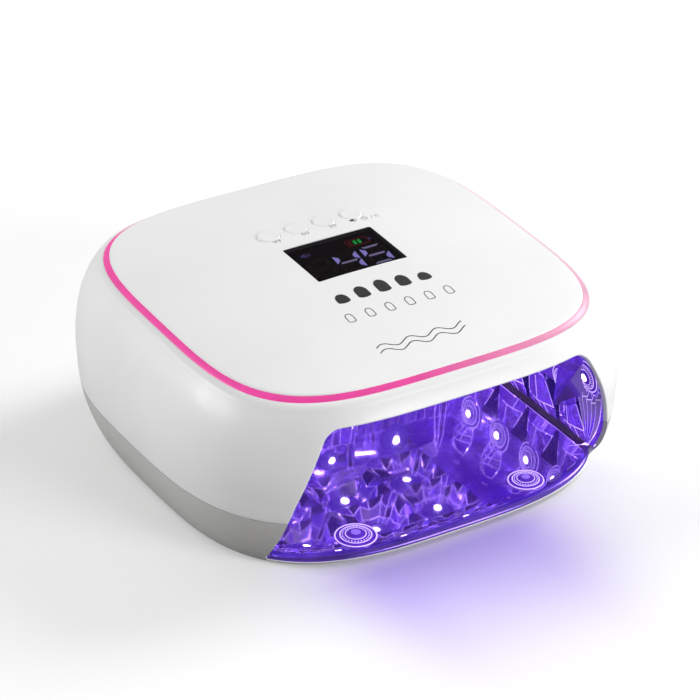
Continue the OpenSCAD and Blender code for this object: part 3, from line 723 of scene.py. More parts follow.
UPRIGHT, LEVEL, UNLIT, GREEN, RED, VIOLET = range(6)
DISPLAY_LIGHTS = [
    glowing("lit_upright", (0.42, 0.38, 0.95), 3.6, drift=0.15),
    glowing("lit_level", (0.36, 0.34, 0.56), 2.7, drift=0.15),
    glowing("unlit_bar", (0.05, 0.03, 0.018), 0.7),
    glowing("lit_green", (0.02, 0.80, 0.10), 2.6),
    glowing("lit_red", (0.75, 0.06, 0.07), 0.5),
    glowing("dim_violet", (0.25, 0.22, 0.62), 1.0),
]

DIGIT_H, DIGIT_W, DIGIT_PITCH = 15.2, 10.0, 14.9
SLANT = 0.12  # lean of the figures, per mm of height
UPRIGHT_STROKE, LEVEL_STROKE = 2.3, 1.35
DIGIT_SPOT = (-0.6, -5.4)
BAR_LIFT = -0.85
# Bars of a seven-bar figure: (column, row, along x); which of them light for each figure.
BARS = {"top": (0, 1, True), "middle": (0, 0, True), "bottom": (0, -1, True),
        "upper_left": (-1, 0.5, False), "upper_right": (1, 0.5, False),
        "lower_left": (-1, -0.5, False), "lower_right": (1, -0.5, False)}
FIGURES = {"4": ("upper_left", "upper_right", "middle", "lower_right"),
           "5": ("top", "upper_left", "middle", "lower_right", "bottom"), " ": ()}


def slab(mesh, outline, slot):
    """A thin plate with the given outline on the display's plane."""
    heights = (BAR_LIFT, BAR_LIFT + 0.2)
    rows = [[on_window(x, y, z) for x, y in outline] for z in heights]
    mesh.patch(rows, closed=True, slot=slot)
    for row, z, flip in ((rows[1], heights[1], False), (rows[0], heights[0], True)):
        mesh.fan(row, on_window(*middle_of(outline), z), slot=slot, flip=flip)


def middle_of(outline):
    return [sum(values) / len(outline) for values in zip(*outline)]


def plate(mesh, low_x, low_y, high_x, high_y, slot):
    slab(mesh, [(low_x, low_y), (high_x, low_y), (high_x, high_y), (low_x, high_y)], slot)


def bar_outline(length, middle, along_x, stroke, outward):
    """Outline of one bar of a figure: longer on its outward side, or pointed at both ends without one."""
    h, t = length / 2, stroke / 2
    low, high = (h if outward < 0 else h - 2 * t), (h if outward > 0 else h - 2 * t)
    spots = [(-low, -t), (low, -t), (high, t), (-high, t)]
    if not outward:
        spots = [(-h, 0), (-h + t, -t), (h - t, -t), (h, 0), (h - t, t), (-h + t, t)]
    outline = []
    for u, v in spots:
        x, y = (middle[0] + u, middle[1] + v) if along_x else (middle[0] - v, middle[1] + u)
        outline.append((x + SLANT * y, y))
    return outline


def segments():
    mesh = Mesh()
    for place_index, figure in ((-1, " "), (0, "4"), (1, "5")):
        cx, cy = DIGIT_SPOT[0] + place_index * DIGIT_PITCH, DIGIT_SPOT[1]
        for bar, (column, row, along_x) in BARS.items():
            length = DIGIT_W - 1.0 if along_x else DIGIT_H / 2 - 0.7
            middle = (column * DIGIT_W / 2, row * DIGIT_H / 2)
            stroke, outward = (LEVEL_STROKE, row) if along_x else (UPRIGHT_STROKE, -column)
            outline = [(cx + x, cy + y) for x, y in bar_outline(length, middle, along_x, stroke, outward)]
            slab(mesh, outline, (LEVEL if along_x else UPRIGHT) if bar in FIGURES[figure] else UNLIT)
    # Charge indicator: a case with its tip, and three bars.
    left, right, low, high, half_line, y = 6.4, 17.8, 6.4, 11.8, 0.2, 9.1
    for edge in (low, high):
        plate(mesh, left, edge - half_line, right, edge + half_line, RED)
    for edge in (left, right):
        plate(mesh, edge - half_line, low, edge + half_line, high, RED)
    plate(mesh, 18.3, y - 1, 19.3, y + 1, VIOLET)
    for x, slot in ((8.3, RED), (10.9, GREEN), (13.4, GREEN)):
        slab(mesh, [(x - 0.9, y - 1.6), (x + 0.5, y - 1.6), (x + 0.9, y + 1.6), (x - 0.5, y + 1.6)], slot)
    # Sound indicator: a small horn and its waves.
    back, neck, bell, y = -18.4, -17.2, -15.8, 9.2
    slab(mesh, [(back, y - 1), (neck, y - 1), (bell, y - 2.2), (bell, y + 2.2), (neck, y + 1), (back, y + 1)],
         VIOLET)
    for x, reach in ((-15.1, 0.9), (-14.2, 1.5)):
        plate(mesh, x, y - reach, x + 0.4, y + reach, VIOLET)
    return mesh.build("display_bars", DISPLAY_LIGHTS, smooth_angle=30)


def window_pane():
    outline = rounded_rectangle(WINDOW_HALF_W, WINDOW_HALF_D, 0.6)
    inner = rounded_rectangle(WINDOW_HALF_W - 0.3, WINDOW_HALF_D - 0.3, 0.4)
    rows = [[on_window(x, y, z) for x, y in points]
            for points, z in ((outline, -0.5), (outline, 0.35), (inner, 0.6))]
    mesh = Mesh()
    mesh.patch(rows, closed=True)
    mesh.fan(rows[0], on_window(0, 0, -0.5), flip=True)
    mesh.fan(rows[-1], on_window(0, 0, 0.6))
    return mesh.build("smoked_pane", [smoked_glass()], smooth_angle=30)


fit(window_pane(), BODY, "display_window")
fit(segments(), BODY, "display_segments")

# ---- prints on the cover ----

PRINT_LIFT = 0.09


def on_cover(x, y, lift=PRINT_LIFT):
    return Vector((x, y, cover_z(x, y) + lift))


def ribbon(mesh, path, width, closed=False, slot=0):
    """An inked line of the given width that follows the cover."""
    rows = []
    n = len(path)
    for i, (x, y) in enumerate(path):
        ax, ay = path[(i - 1) % n] if closed or i > 0 else path[i]
        bx, by = path[(i + 1) % n] if closed or i < n - 1 else path[i]
        run = math.hypot(bx - ax, by - ay)
        nx, ny = -(by - ay) / run * width / 2, (bx - ax) / run * width / 2
        rows.append([on_cover(x + nx, y + ny, 0), on_cover(x + nx, y + ny), on_cover(x - nx, y - ny),
                     on_cover(x - nx, y - ny, 0)])
    if closed:
        rows.append(rows[0])
    mesh.patch(rows, closed=True, slot=slot)


def blot(mesh, outline, slot=0):
    """A filled inked shape that follows the cover."""
    rows = [[on_cover(x, y, lift) for x, y in outline] for lift in (0, PRINT_LIFT)]
    mesh.patch(rows, closed=True, slot=slot)
    mesh.fan(rows[1], on_cover(*middle_of(outline)), slot=slot)


def arc(cx, cy, rx, ry, start, end, count=14):
    return [(cx + rx * math.cos(math.radians(a)), cy + ry * math.sin(math.radians(a)))
            for a in span(start, end, count)]


# Figures drawn in a box one high: a list of (path, closed).
NINE = [(arc(0.30, 0.70, 0.27, 0.28, 0, 342, 20), True), (arc(0.10, 0.70, 0.47, 0.70, 0, -82), False)]
THREE = [(arc(0.26, 0.75, 0.26, 0.24, 150, -90), False), (arc(0.26, 0.26, 0.30, 0.25, 90, -150), False)]
ZERO = [(arc(0.30, 0.50, 0.27, 0.48, 0, 342, 20), True)]
SIX = [([(0.6 - x, 1 - y) for x, y in path], closed) for path, closed in NINE]
STROKED = {"0": ZERO, "3": THREE, "6": SIX, "9": NINE}
NUMBER_H = 2.5
NUMBER_Y = 24.2


def number(mesh, text, x):
    for i, figure in enumerate(text):
        for path, closed in STROKED[figure]:
            spots = [(x + (u + i * 0.86) * NUMBER_H, NUMBER_Y + v * NUMBER_H) for u, v in path]
            ribbon(mesh, spots, 0.34, closed)


def nail_outline(x, y, width, height):
    """A nail: a rounded tip and a shallow curved base."""
    r = width / 2
    tip, base = r * 1.3, r * 0.45
    return arc(x, y + height - tip, r, tip, 0, 180, 10) + arc(x, y + base, r, base, 180, 360, 10)


def cover_prints():
    """Times below the buttons, small signs, and a row of nails and waves below the display."""
    mesh = Mesh()
    for text, x in (("99", -23.4), ("60", -8.0), ("30", 7.0)):
        number(mesh, text, x)
    blot(mesh, [(18.6, 24.9), (19.6, 24.9), (20.9, 23.8), (20.9, 27.6), (19.6, 26.5), (18.6, 26.5)], slot=1)
    for path in (arc(20.9, 25.7, 1.1, 1.5, 50, -50, 7), arc(26.4, 25.2, 1.35, 1.35, 118, 422, 20),
                 [(26.4, 25.4), (26.4, 27.2)]):
        ribbon(mesh, path, 0.3, slot=1)
    ribbon(mesh, [(29.9, 23.9), (31.1, 26.6)], 0.25)
    ribbon(mesh, arc(33.2, 25.2, 0.9, 1.1, 0, 342, 14), 0.25, closed=True)
    for i, height in enumerate((7.4, 9.2, 10.0, 9.0, 6.6)):
        blot(mesh, nail_outline(-22 + i * 11, -38.6, 6.6, height), slot=1)
    for i in range(6):
        ribbon(mesh, nail_outline(-26.4 + i * 10.6, -52.6, 3.6, 6.2), 0.42, closed=True, slot=1)
    for y in (-73.4, -77.0):
        ribbon(mesh, [(-27 + i * 0.96, y + 1.6 * math.sin(i * 0.42)) for i in range(49)], 0.5, slot=1)
    return mesh.build("cover_prints", [pale_ink, dark_ink], smooth_angle=20)


pale_ink = moulded("pale_ink", (0.30, 0.30, 0.31), roughness=0.5, drift=0.25)
dark_ink = moulded("dark_ink", (0.022, 0.022, 0.024), roughness=0.45, drift=0.3)
fit(cover_prints(), BODY)

# ---- mirrored chamber ----

CHAMBER = Arch(88.0, 0.0016, 12.0, 75.5)
CHAMBER_BACK = 47.0
WALL_FOOT = 9.4
SKIRT_TOP = 8.6  # below this the side walls stand back, behind a dark gap
SKIRT_SET_BACK = -1.3
FLOOR_Z = 6.2
SIDE_LED_Z = 35.0
SIDE_LED_Y = (-60.0, -34.0, -8.0, 18.0)
SIDE_LED_TILT = math.radians(7.5)
HALF_BAY = 13.0
FRONT_LED = (-82.0, 48.5)
BACK_LED_X = (-58, -20, 20, 58)
BACK_LED_Z = 57.0
BASE_LEDS = ((-46.5, 1.2), (46.5, 1.05))  # x, and lens size relative to the others
BASE_LED_Y = -88
LENS_RIM = 8.8
FAN = 0.28  # how far a fold moves back for each mm that it climbs


def outline_front_y(x, z, inset):
    """Front of the body at x and true height z, drawn in by inset."""
    y = -HALF_D
    for _ in range(3):
        nominal = z - tilt_at(z) * y
        k, e = body_scale(nominal), exp_at(nominal)
        across = min(0.999, abs(x) / (HALF_W * k - inset))
        y = -(HALF_D * k - inset) * (1 - across**e) ** (1 / e)
    return y


def arch_stations():
    """Rows of the chamber's right half: (chamber x, z, inward normal, mouth x, mouth z)."""
    stations = []
    for z in (WALL_FOOT, SKIRT_TOP - 0.1, SKIRT_TOP, 14.4, *range(18, 31, 4), 33, *range(36, 61, 4),
              CHAMBER.start_z):
        slope = CHAMBER.slope_at(z)
        stations.append((CHAMBER.side_x(z), z, (-math.cos(slope), -math.sin(slope)), MOUTH.half_width(z), z))
    for i in range(1, 9):
        a = mix(CHAMBER.slope, math.pi / 2, i / 8)
        b = mix(MOUTH.slope, math.pi / 2, i / 8)
        stations.append((CHAMBER.corner_x + CHAMBER.radius * math.cos(a),
                         CHAMBER.corner_z + CHAMBER.radius * math.sin(a), (-math.cos(a), -math.sin(a)),
                         MOUTH.corner_x + MOUTH.radius * math.cos(b),
                         MOUTH.corner_z + MOUTH.radius * math.sin(b)))
    return stations


def wall_point(station, y, inward):
    x, z, normal, _, _ = station
    return Vector((x + normal[0] * inward, y, z + normal[1] * inward))


PLEATS = 11
PLEAT_DEPTH = 2.2
RIDGE_DEPTH = 3.4  # of the folds below the side LEDs, and above them
HOOD_DEPTH = 5.5
WALL_BACK_FOLDS = (0.4, 1.6, 0.2, 0.0)


def pleat_end(z):
    """Where the pleats by the mouth end and the LED bays begin."""
    return SIDE_LED_Y[0] - HALF_BAY + FAN * (z - SIDE_LED_Z)


def above_skirt(z, depth):
    """Depth of a fold at height z, where the skirt is set back instead."""
    return SKIRT_SET_BACK if z < SKIRT_TOP else depth


def front_columns(station):
    """The flared front of the wall: the mouth's edge, then long pleats back to the first LED bay."""
    x, z, _, mouth_x, mouth_z = station
    lip_y = outline_front_y(mouth_x, mouth_z, 0.35)
    points = [Vector((mouth_x - 0.2, lip_y, mouth_z - (0.3 if z > 70 else 0))),
              Vector((mix(mouth_x, x, 0.45) - 0.2, outline_front_y(x, z, 1.8), mix(mouth_z, z, 0.45)))]
    start_y = outline_front_y(x, z, 4.0)
    for i in range(PLEATS):
        y = mix(start_y, pleat_end(z), i / (PLEATS - 1))
        clear = smooth((math.hypot(y - FRONT_LED[0], z - FRONT_LED[1]) - 8.5) / 3)
        depth = min(PLEAT_DEPTH * clear, foot_depth(z)) if i % 2 else 0.0
        points.append(wall_point(station, y, above_skirt(z, depth)))
    return points


def foot_depth(z):
    """Ridges die away at the skirt, so they never hide the dark gap beside the floor plate."""
    return 0.2 + 0.45 * (z - SKIRT_TOP)


def ridge_profile(z):
    """Depth of an LED bay's crest and half width of its ridge, at height z."""
    low = clamp01((SIDE_LED_Z - z) / (SIDE_LED_Z - SKIRT_TOP))
    high = clamp01((z - 41) / 9) * (1 - smooth((z - 50) / 14))
    depth = min(RIDGE_DEPTH * low + HOOD_DEPTH * high, foot_depth(z))
    return depth, HALF_BAY - mix(8.6, 0.8, low) + 3.5 * high


def bay_columns(station):
    """LED bays: a ridge below each LED that widens to the foot, flat V grounds between, a hood above."""
    z = station[1]
    depth, half = ridge_profile(z)
    shift = FAN * (z - SIDE_LED_Z)
    fade = 1 - smooth((z - 58) / 12)
    points = [wall_point(station, pleat_end(z), above_skirt(z, 0.0))]
    for centre in SIDE_LED_Y:
        for share, part in ((-1, 0.0), (-0.4, 0.72), (0, 1.0), (0.4, 0.72), (1, 0.0)):
            y = max(centre + shift + share * half, pleat_end(z) + 0.3)
            points.append(wall_point(station, min(y, CHAMBER_BACK - 8), above_skirt(z, depth * part * fade)))
    for i, fold in enumerate(WALL_BACK_FOLDS):
        y = mix(CHAMBER_BACK - 7.5, CHAMBER_BACK, i / (len(WALL_BACK_FOLDS) - 1))
        points.append(wall_point(station, y, above_skirt(z, fold * fade)))
    return points


def bay_slot(row, column):
    """The skirt's rows and the flat V grounds between the ridges get the dark mirror: painted shade in the
    gap and painted dark reflections of the floor.
    """
    return SHADOW if row < 2 or (row <= 6 and column % 5 == 0 and column <= 20) else CLEAR


def mirrored_x(points):
    return [Vector((-p.x, p.y, p.z)) for p in points]


CEILING_X = (-72.0, -38.0, 0.0, 38.0, 72.0)
CEILING_Y = (-84.0, -49.0, -15.0, 17.0, 46.0)
CEILING_LED_X = (-56, -20, 20, 56)
CEILING_LED_Y = (-66, -32, 2, 32)
CELL_LIFT = 9.0  # height of a pit's LED above its border
CELL_RAYS = 16
# Mirror of each facet of a pit, by ring and by ray: the dark and glowing copies paint reflections that differ
# from facet to facet.
CELL_SLOTS = ((CLEAR, CLEAR, PAINTED_GLOW, CLEAR, CLEAR), (CLEAR, SHADOW, CLEAR, PAINTED_GLOW, CLEAR),
              (SHADOW, CLEAR, CLEAR, SHADOW, PAINTED_GLOW))


def ceiling_cell(mesh, cx, cy, low, high):
    """A cut pit round a ceiling LED: pointed facets fan from its rim down to the cell's straight border."""
    corners = [math.atan2(y - cy, x - cx) for x in (low[0], high[0]) for y in (low[1], high[1])]
    angles = sorted(corners + [a - math.pi for a in turn(CELL_RAYS, 0.1)])
    rows = [[], [], [], []]
    for i, a in enumerate(angles):
        c, s = math.cos(a), math.sin(a)
        across = ((high[0] if c > 0 else low[0]) - cx) / c if abs(c) > 1e-6 else 1e6
        along = ((high[1] if s > 0 else low[1]) - cy) / s if abs(s) > 1e-6 else 1e6
        reach = min(across, along)
        odd = i % 2
        steps = ((0.0, 0.0), (0.12 + 0.2 * odd, 0.16), (0.5 + 0.2 * odd, 0.5 + 0.36 * odd), (1.0, 1.0))
        for row, (share, drop) in zip(rows, steps):
            r = mix(LENS_RIM, reach, share)
            row.append(Vector((cx + r * c, cy + r * s, CHAMBER.top - CELL_LIFT * drop)))
    mesh.patch(rows, closed=True, slot=lambda row, column: CELL_SLOTS[row][column % 5])


def ceiling(mesh):
    """Sixteen cut pits, and a sloping trim that joins their borders to the walls and the mouth."""
    for i, cx in enumerate(CEILING_LED_X):
        for j, cy in enumerate(CEILING_LED_Y):
            ceiling_cell(mesh, cx, cy, (CEILING_X[i], CEILING_Y[j]), (CEILING_X[i + 1], CEILING_Y[j + 1]))
    low_z = CHAMBER.top - CELL_LIFT
    edges = ((CEILING_X[-1], low_z), (CHAMBER.corner_x + 0.6, CHAMBER.top))
    for side in (-1, 1):
        rows = [[Vector((side * x, y, z)) for y in (CEILING_Y[0], CEILING_Y[-1])] for x, z in edges]
        mesh.patch(rows, flip=side > 0)
    xs = span(-CHAMBER.corner_x, CHAMBER.corner_x, 33)
    rows = [[Vector((clamp_to(x, CEILING_X[-1]), CEILING_Y[0], low_z)) for x in xs]]
    rows.append([Vector((x, outline_front_y(x, CHAMBER.top, 4.0), CHAMBER.top - 0.6)) for x in xs])
    edge = [x * MOUTH.corner_x / CHAMBER.corner_x for x in xs]
    rows.append([Vector((x, outline_front_y(x, MOUTH.top, 0.5), MOUTH.top - 0.3)) for x in edge])
    mesh.patch(rows)


PILASTERS = (-82, -31, 31, 82)
PILASTER_HALF_W = 1.5
CORNICE_Z = 69.0
# The cornice's steps: (rise above its foot, depth out of the wall).
CORNICE = ((0, 0), (0.2, 1.5), (1.5, 1.7), (1.7, 3.2), (3.0, 3.5), (3.2, 5.0), (4.6, 5.4))
FLUTE_PITCH = 10.0
FLUTE_DEPTH = 2.4


def panel_share(x):
    """Where x lies in its scooped panel, from -1 to 1, and 1 on a pilaster."""
    for low, high in zip(PILASTERS, PILASTERS[1:]):
        if low + PILASTER_HALF_W < x < high - PILASTER_HALF_W:
            return (2 * x - low - high) / (high - low - 2 * PILASTER_HALF_W)
    return 1.0


def back_wall(mesh):
    """Scooped panels between pilasters, under a stepped cornice that arches over each panel."""
    edges = {p + d for p in PILASTERS for d in (-PILASTER_HALF_W, PILASTER_HALF_W)}
    columns = sorted({-CHAMBER.half_w, CHAMBER.half_w} | edges | set(span(-80, 80, 65)))
    rows = [[back_point(x, z, 0) for x in columns] for z in (WALL_FOOT, 16, 28, 40, 50, 58, 63)]
    for rise, step in CORNICE:
        rows.append([back_point(x, CORNICE_Z - 4.5 * panel_share(x) ** 2 + rise, step) for x in columns])
    rows.append([back_point(x, CHAMBER.top, 9.0) for x in columns])
    # Narrow column stripes low on the wall get the glowing mirror: painted bright streaks.
    mesh.patch(rows, slot=lambda row, column: PAINTED_GLOW if row < 4 and column % 8 < 2 else CLEAR)


def back_point(x, z, step):
    limit = CHAMBER.half_width(min(z, CHAMBER.top - 0.01)) + 0.5
    scoop = 2.6 * abs(panel_share(x)) ** 3
    flute = FLUTE_DEPTH * abs(2 * (x / FLUTE_PITCH % 1) - 1) * clamp01((50 - z) / 8)
    return Vector((clamp_to(x, limit), CHAMBER_BACK - scoop - flute - step, z))


def clamp_to(v, limit):
    return max(-limit, min(limit, v))


TOE_Z = FLOOR_Z - 0.6
ARRIS = 0.3  # width of the bright edges between facets, whose strong emission paints glints
SLIVER = 0.15  # facets narrower than this are dissolved
SEAM_FRONT_Y = -81.0  # front end of the gap beside the floor plate
PLATE_HALF_W = 87.0
# The prow between the pleats and the first LED: (y, z, inward) of its corners and its faces.
PROW = {"crown": (-70, 63, 0.2), "front": (-81, 57, 0.0), "rear": (-60, 54, 0.0), "tip": (-68, 30, 12.0),
        "front_foot": (-79, 37, 0.0), "rear_foot": (-67, 24, 0.0)}
PROW_FACES = (("front", "crown", "tip"), ("crown", "rear", "tip"), ("rear", "rear_foot", "tip"),
              ("front_foot", "front", "tip"), ("rear_foot", "front_foot", "tip"))


def prow(mesh, side, flip):
    """A faceted prow on the wall that shades the first LED from above."""
    corners = {}
    for name, (y, z, inward) in PROW.items():
        slope = CHAMBER.slope_at(z)
        x = CHAMBER.side_x(z) - math.cos(slope) * inward
        corners[name] = Vector((x, y, z - math.sin(slope) * inward))
    # Its faces get the glowing mirror, a painted brighter glow.
    for face in PROW_FACES:
        a, b, c = side([corners[name] for name in face])
        mesh.patch([[a, a.lerp(c, 0.5), c], [b, b.lerp(c, 0.5), c]], flip=flip, slot=PAINTED_GLOW)


def mirror_canopy():
    stations = arch_stations()
    mesh = Mesh()
    for flip, side in ((False, lambda points: points), (True, mirrored_x)):
        columns = [front_columns(s) for s in stations]
        # The skirt's rows get the dark mirror, painted shade in the gap beside the floor plate; the rest of
        # the flared front gets a painted brighter glow.
        mesh.patch([side(points) for points in columns], flip=flip,
                   slot=lambda row, _: SHADOW if row < 2 else PAINTED_GLOW)
        # Toe of the flare, which closes the gap above the floor in front of the LED bays.
        heel = [p for p in columns[0] if p.y < SEAM_FRONT_Y]
        toe = [Vector((p.x - 0.5, max(p.y, outline_front_y(p.x - 0.5, TOE_Z, 0.8)), TOE_Z)) for p in heel]
        mesh.patch([side(toe), side(heel)], flip=flip)
        mesh.patch([side(bay_columns(s)) for s in stations], flip=flip, slot=bay_slot)
        prow(mesh, side, flip)
    ceiling(mesh)
    back_wall(mesh)
    piece = mesh.build("mirror_canopy", MIRRORS, smooth_angle=None, weld=False)
    with_bmesh(piece.data, lambda work: bmesh.ops.dissolve_degenerate(
        work, dist=SLIVER * MM, edges=work.edges))
    round_edges(piece, ARRIS, 1, angle=13, material=BRIGHT, use_clamp_overlap=False)
    apply_modifiers(piece)
    finish_shading(piece.data, 10)
    return piece


# Section of the mirror floor's curled front: (height, distance inside the body's outline).
CURL = ((TRAY_LIP_Z - 0.2, 0.45), (3.5, 0.55), (4.4, 0.95), (5.2, 1.9), (5.8, 3.3), (6.05, 5.0))
CURL_HALF_W = 89.4


def mirror_floor():
    """The mirrored floor: curled down over the tray's lip in front, drawn in beside the walls' dark gap."""
    mesh = Mesh()
    rows = []
    for i in range(97):
        share = mix(-1, 1, i / 96)
        edge_x = share * CURL_HALF_W
        column = [Vector((edge_x, outline_front_y(edge_x, z, inset), z)) for z, inset in CURL]
        front_y = outline_front_y(edge_x, FLOOR_Z, 7.5)
        for t in (0.0, 0.04, 0.08, 0.14, 0.22, 0.35, 0.5, 0.65, 0.8, 1.0):
            y = mix(front_y, CHAMBER_BACK - 3, t)
            x = mix(edge_x, share * PLATE_HALF_W, smooth((y - SEAM_FRONT_Y + 3) / 3))
            column.append(Vector((x, y, FLOOR_Z)))
        rows.append(column)
    mesh.patch(rows, slot=lambda row, column: 1 if column < len(CURL) - 1 else 0)
    return mesh.build("mirror_floor", [floor_mirror, rolled_mirror], smooth_angle=40)


BODY_SLOT, EDGE_SLOT, CORE_SLOT, DIM_SLOT = range(4)
LENS_PROFILES = (
    # (radius, height) runs of the domed lens and the material slot of each
    (((8.6, -0.3), (8.5, 0.1), (8.3, 0.3)), BODY_SLOT),
    (((8.3, 0.3), (8.12, 0.55), (7.88, 0.55), (7.7, 0.3)), EDGE_SLOT),
    (((7.7, 0.3), (7.2, 0.25), (6.6, 0.5), (6.3, 0.8)), BODY_SLOT),
    (((6.3, 0.8), (6.15, 0.98), (5.95, 0.98), (5.8, 0.85)), EDGE_SLOT),
    (((5.8, 0.85), (5.0, 0.95), (4.2, 1.3)), BODY_SLOT),
    (((4.2, 1.3), (4.08, 1.45), (3.92, 1.48), (3.8, 1.4)), EDGE_SLOT),
    (((3.8, 1.4), (2.9, 1.8), (1.9, 2.15)), BODY_SLOT),
    (((1.9, 2.15), (1.4, 2.35), (0.8, 2.46), (0.02, 2.5)), CORE_SLOT),
)
STUDS = 26
STUD_RING_R = 5.1


def add_lens(mesh, centre, axis, across, size=1.0, core=CORE_SLOT, edge=EDGE_SLOT):
    """One domed lens along axis: concentric rings round its core, with a ring of small prisms."""
    axis = Vector(axis).normalized()
    u = Vector(across).normalized()
    v = axis.cross(u)

    def put(p):
        return Vector(centre) + (u * p.x + v * p.y) * size + axis * p.z

    for profile, slot in LENS_PROFILES:
        rows = [[put(p) for p in row] for row in lathe(profile, 48)]
        mesh.patch(rows, closed=True, slot={CORE_SLOT: core, EDGE_SLOT: edge}.get(slot, slot))
    for a in turn(STUDS):
        radial = Vector((math.cos(a), math.sin(a), 0))
        side = Vector((-math.sin(a), math.cos(a), 0))
        spot = radial * STUD_RING_R + Vector((0, 0, 0.85))
        corners = ((-1, -1), (1, -1), (1, 1), (-1, 1))
        base = [put(spot + radial * 0.28 * i + side * 0.32 * j) for i, j in corners]
        mesh.fan(base, put(spot + Vector((0, 0, 0.5))), slot=edge)


def lenses(name, spots):
    mesh = Mesh()
    for spot in spots:
        add_lens(mesh, *spot)
    return mesh.build(name, [lens_body, lens_edge, lens_core, dim_core], smooth_angle=40, weld=False)


def side_spots():
    down, inward = math.sin(SIDE_LED_TILT), math.cos(SIDE_LED_TILT)
    return [((side * (CHAMBER.side_x(z) - 0.3), y, z), (-side * inward, 0, -down), (0, 1, 0))
            for side in (1, -1) for y, z in [(y, SIDE_LED_Z) for y in SIDE_LED_Y] + [FRONT_LED]]


ACROSS, FORWARD, UP, DOWN = (1, 0, 0), (0, -1, 0), (0, 0, 1), (0, 0, -1)
# Spots of each group: place, axis and cross direction, then size and the slots of core and edges.
LENS_GROUPS = {
    "side_led_lenses": side_spots(),
    "ceiling_led_lenses": [((x, y, CHAMBER.top), DOWN, ACROSS, 1.0, CORE_SLOT, BODY_SLOT)
                           for x in CEILING_LED_X for y in CEILING_LED_Y],
    "back_led_lenses": [((x, CHAMBER_BACK, BACK_LED_Z), FORWARD, ACROSS, 1.0, CORE_SLOT, BODY_SLOT)
                        for x in BACK_LED_X],
    "base_led_lenses": [((x, BASE_LED_Y, FLOOR_Z), UP, ACROSS, size, DIM_SLOT) for x, size in BASE_LEDS],
}


def sensor_eye():
    """The hand sensor's dark eye, level with the borders of the ceiling's pits."""
    low, high = node_box("hand_sensor")
    centre = Vector(((low.x + high.x) / 2, (low.y + high.y) / 2 - PLAN_Y, 0))
    r = (high.x - low.x) / 2
    tip = CHAMBER.top - CELL_LIFT - 1.4
    profile = [(0.02, tip), (r * 0.5, tip + 0.15), (r * 0.86, tip + 0.5), (r, tip + 1.1), (r, high.z),
               (0.02, high.z)]
    mesh = Mesh()
    mesh.patch([[p + centre for p in row] for row in lathe(profile, 32)], closed=True)
    return mesh.build("sensor_eye", [dark_epoxy], smooth_angle=40)


dark_epoxy = moulded("dark_epoxy", (0.012, 0.01, 0.016), roughness=0.12, grain_depth=0.004, coat=0.5)
fit(mirror_canopy(), BODY, "upper_reflector")
fit(mirror_floor(), BODY, "base_reflector")
fit(sensor_eye(), BODY, "hand_sensor")
for node, spots in LENS_GROUPS.items():
    fit(lenses(node.replace("led_lenses", "light_lenses"), spots), BODY, node)

# ---- finishes of the CAD parts that show as they are ----


def circuit_board(name, mask):
    """Solder mask over copper: faint tracks under a glossy skin."""
    n = Nodes(name)
    colours = {socket: (*shade(mask, factor), 1) for socket, factor in
               (("Color1", 1.0), ("Color2", 0.82), ("Mortar", 1.5))}
    inputs = {"Scale": 90.0, "Mortar Size": 0.06, "Vector": n.coordinates, **colours}
    tracks = n.add("TexBrick", inputs).outputs
    return n.surface(n.principled(tracks["Color"], n.remap(n.noise(120.0), 0.25, 0.42),
                                  Normal=n.bump(tracks["Fac"], 0.4, 0.03)))


def sleeve(name, colour):
    """Heat-shrunk film: glossy, with fine lengthwise wrinkles."""
    n = Nodes(name)
    inputs = {"Scale": 60.0, "Distortion": 6.0, "Vector": n.coordinates}
    wrinkles = n.add("TexWave", inputs, bands_direction="X").outputs["Fac"]
    # the colour darkens in the wrinkles' troughs: painted shade in the creases
    return n.surface(n.principled(n.blend_colour(wrinkles, shade(colour, 0.85), colour),
                                  n.remap(n.noise(70.0), 0.2, 0.36), Normal=n.bump(wrinkles, 0.3, 0.05)))


FINISHES = (
    (moulded("black_nylon", (0.03, 0.03, 0.034), roughness=0.55),
     "display_module buzzer battery_cradle dc_jack"),
    (moulded("black_acetal", (0.06, 0.06, 0.066), roughness=0.4),
     "plunger_99s plunger_60s plunger_30s plunger_power"),
    (moulded("chip_epoxy", (0.03, 0.03, 0.033), roughness=0.6, grain=1500), "control_chips driver_chips"),
    (moulded("ferrite", (0.06, 0.06, 0.065), roughness=0.75, grain=1200, grain_depth=0.03), "inductor"),
    (moulded("foot_rubber", (0.03, 0.03, 0.03), roughness=0.8, grain=700, grain_depth=0.04), "rubber_feet"),
    (moulded("cable_grey", (0.30, 0.30, 0.31), roughness=0.5), "ribbon_cable"),
    (moulded("cable_red", (0.42, 0.02, 0.02), roughness=0.45), "battery_leads"),
    (moulded("tape_film", (0.62, 0.58, 0.48), roughness=0.4), "accent_led_tape"),
    (moulded("led_package", (0.80, 0.74, 0.42), roughness=0.25, coat=0.4), "accent_leds uv_led_chips"),
    (metal("tinned_steel", (0.72, 0.72, 0.74), 0.28), "switch_bodies cell_tabs"),
    (metal("zinc_steel", (0.62, 0.62, 0.65), 0.35),
     "housing_screws cover_screws board_screws led_board_screws"),
    (metal("plated_brass", (0.80, 0.72, 0.50), 0.22), "dc_jack_pin"),
    (circuit_board("green_board", (0.02, 0.13, 0.06)), "control_board charger_board driver_board"),
    (circuit_board("white_board", (0.72, 0.72, 0.70)),
     "side_led_boards ceiling_led_board back_led_board base_led_boards"),
    (sleeve("cell_sleeve", (0.03, 0.10, 0.42)), "battery_cells"),
    (sleeve("capacitor_sleeve", (0.03, 0.035, 0.09)), "capacitors"),
)
for finish, nodes in FINISHES:
    for node in nodes.split():
        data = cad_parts[node].data
        data.materials.clear()
        data.materials.append(finish)

# ---- floor, light and camera ----


GLOW_X = -12  # middle and half width of the painted violet glow's brightest stretch
GLOW_HALF_W = 30
GLOW_REACH = 68  # distance at which it has faded to a third
FLOOR_HALF_M = 8.0


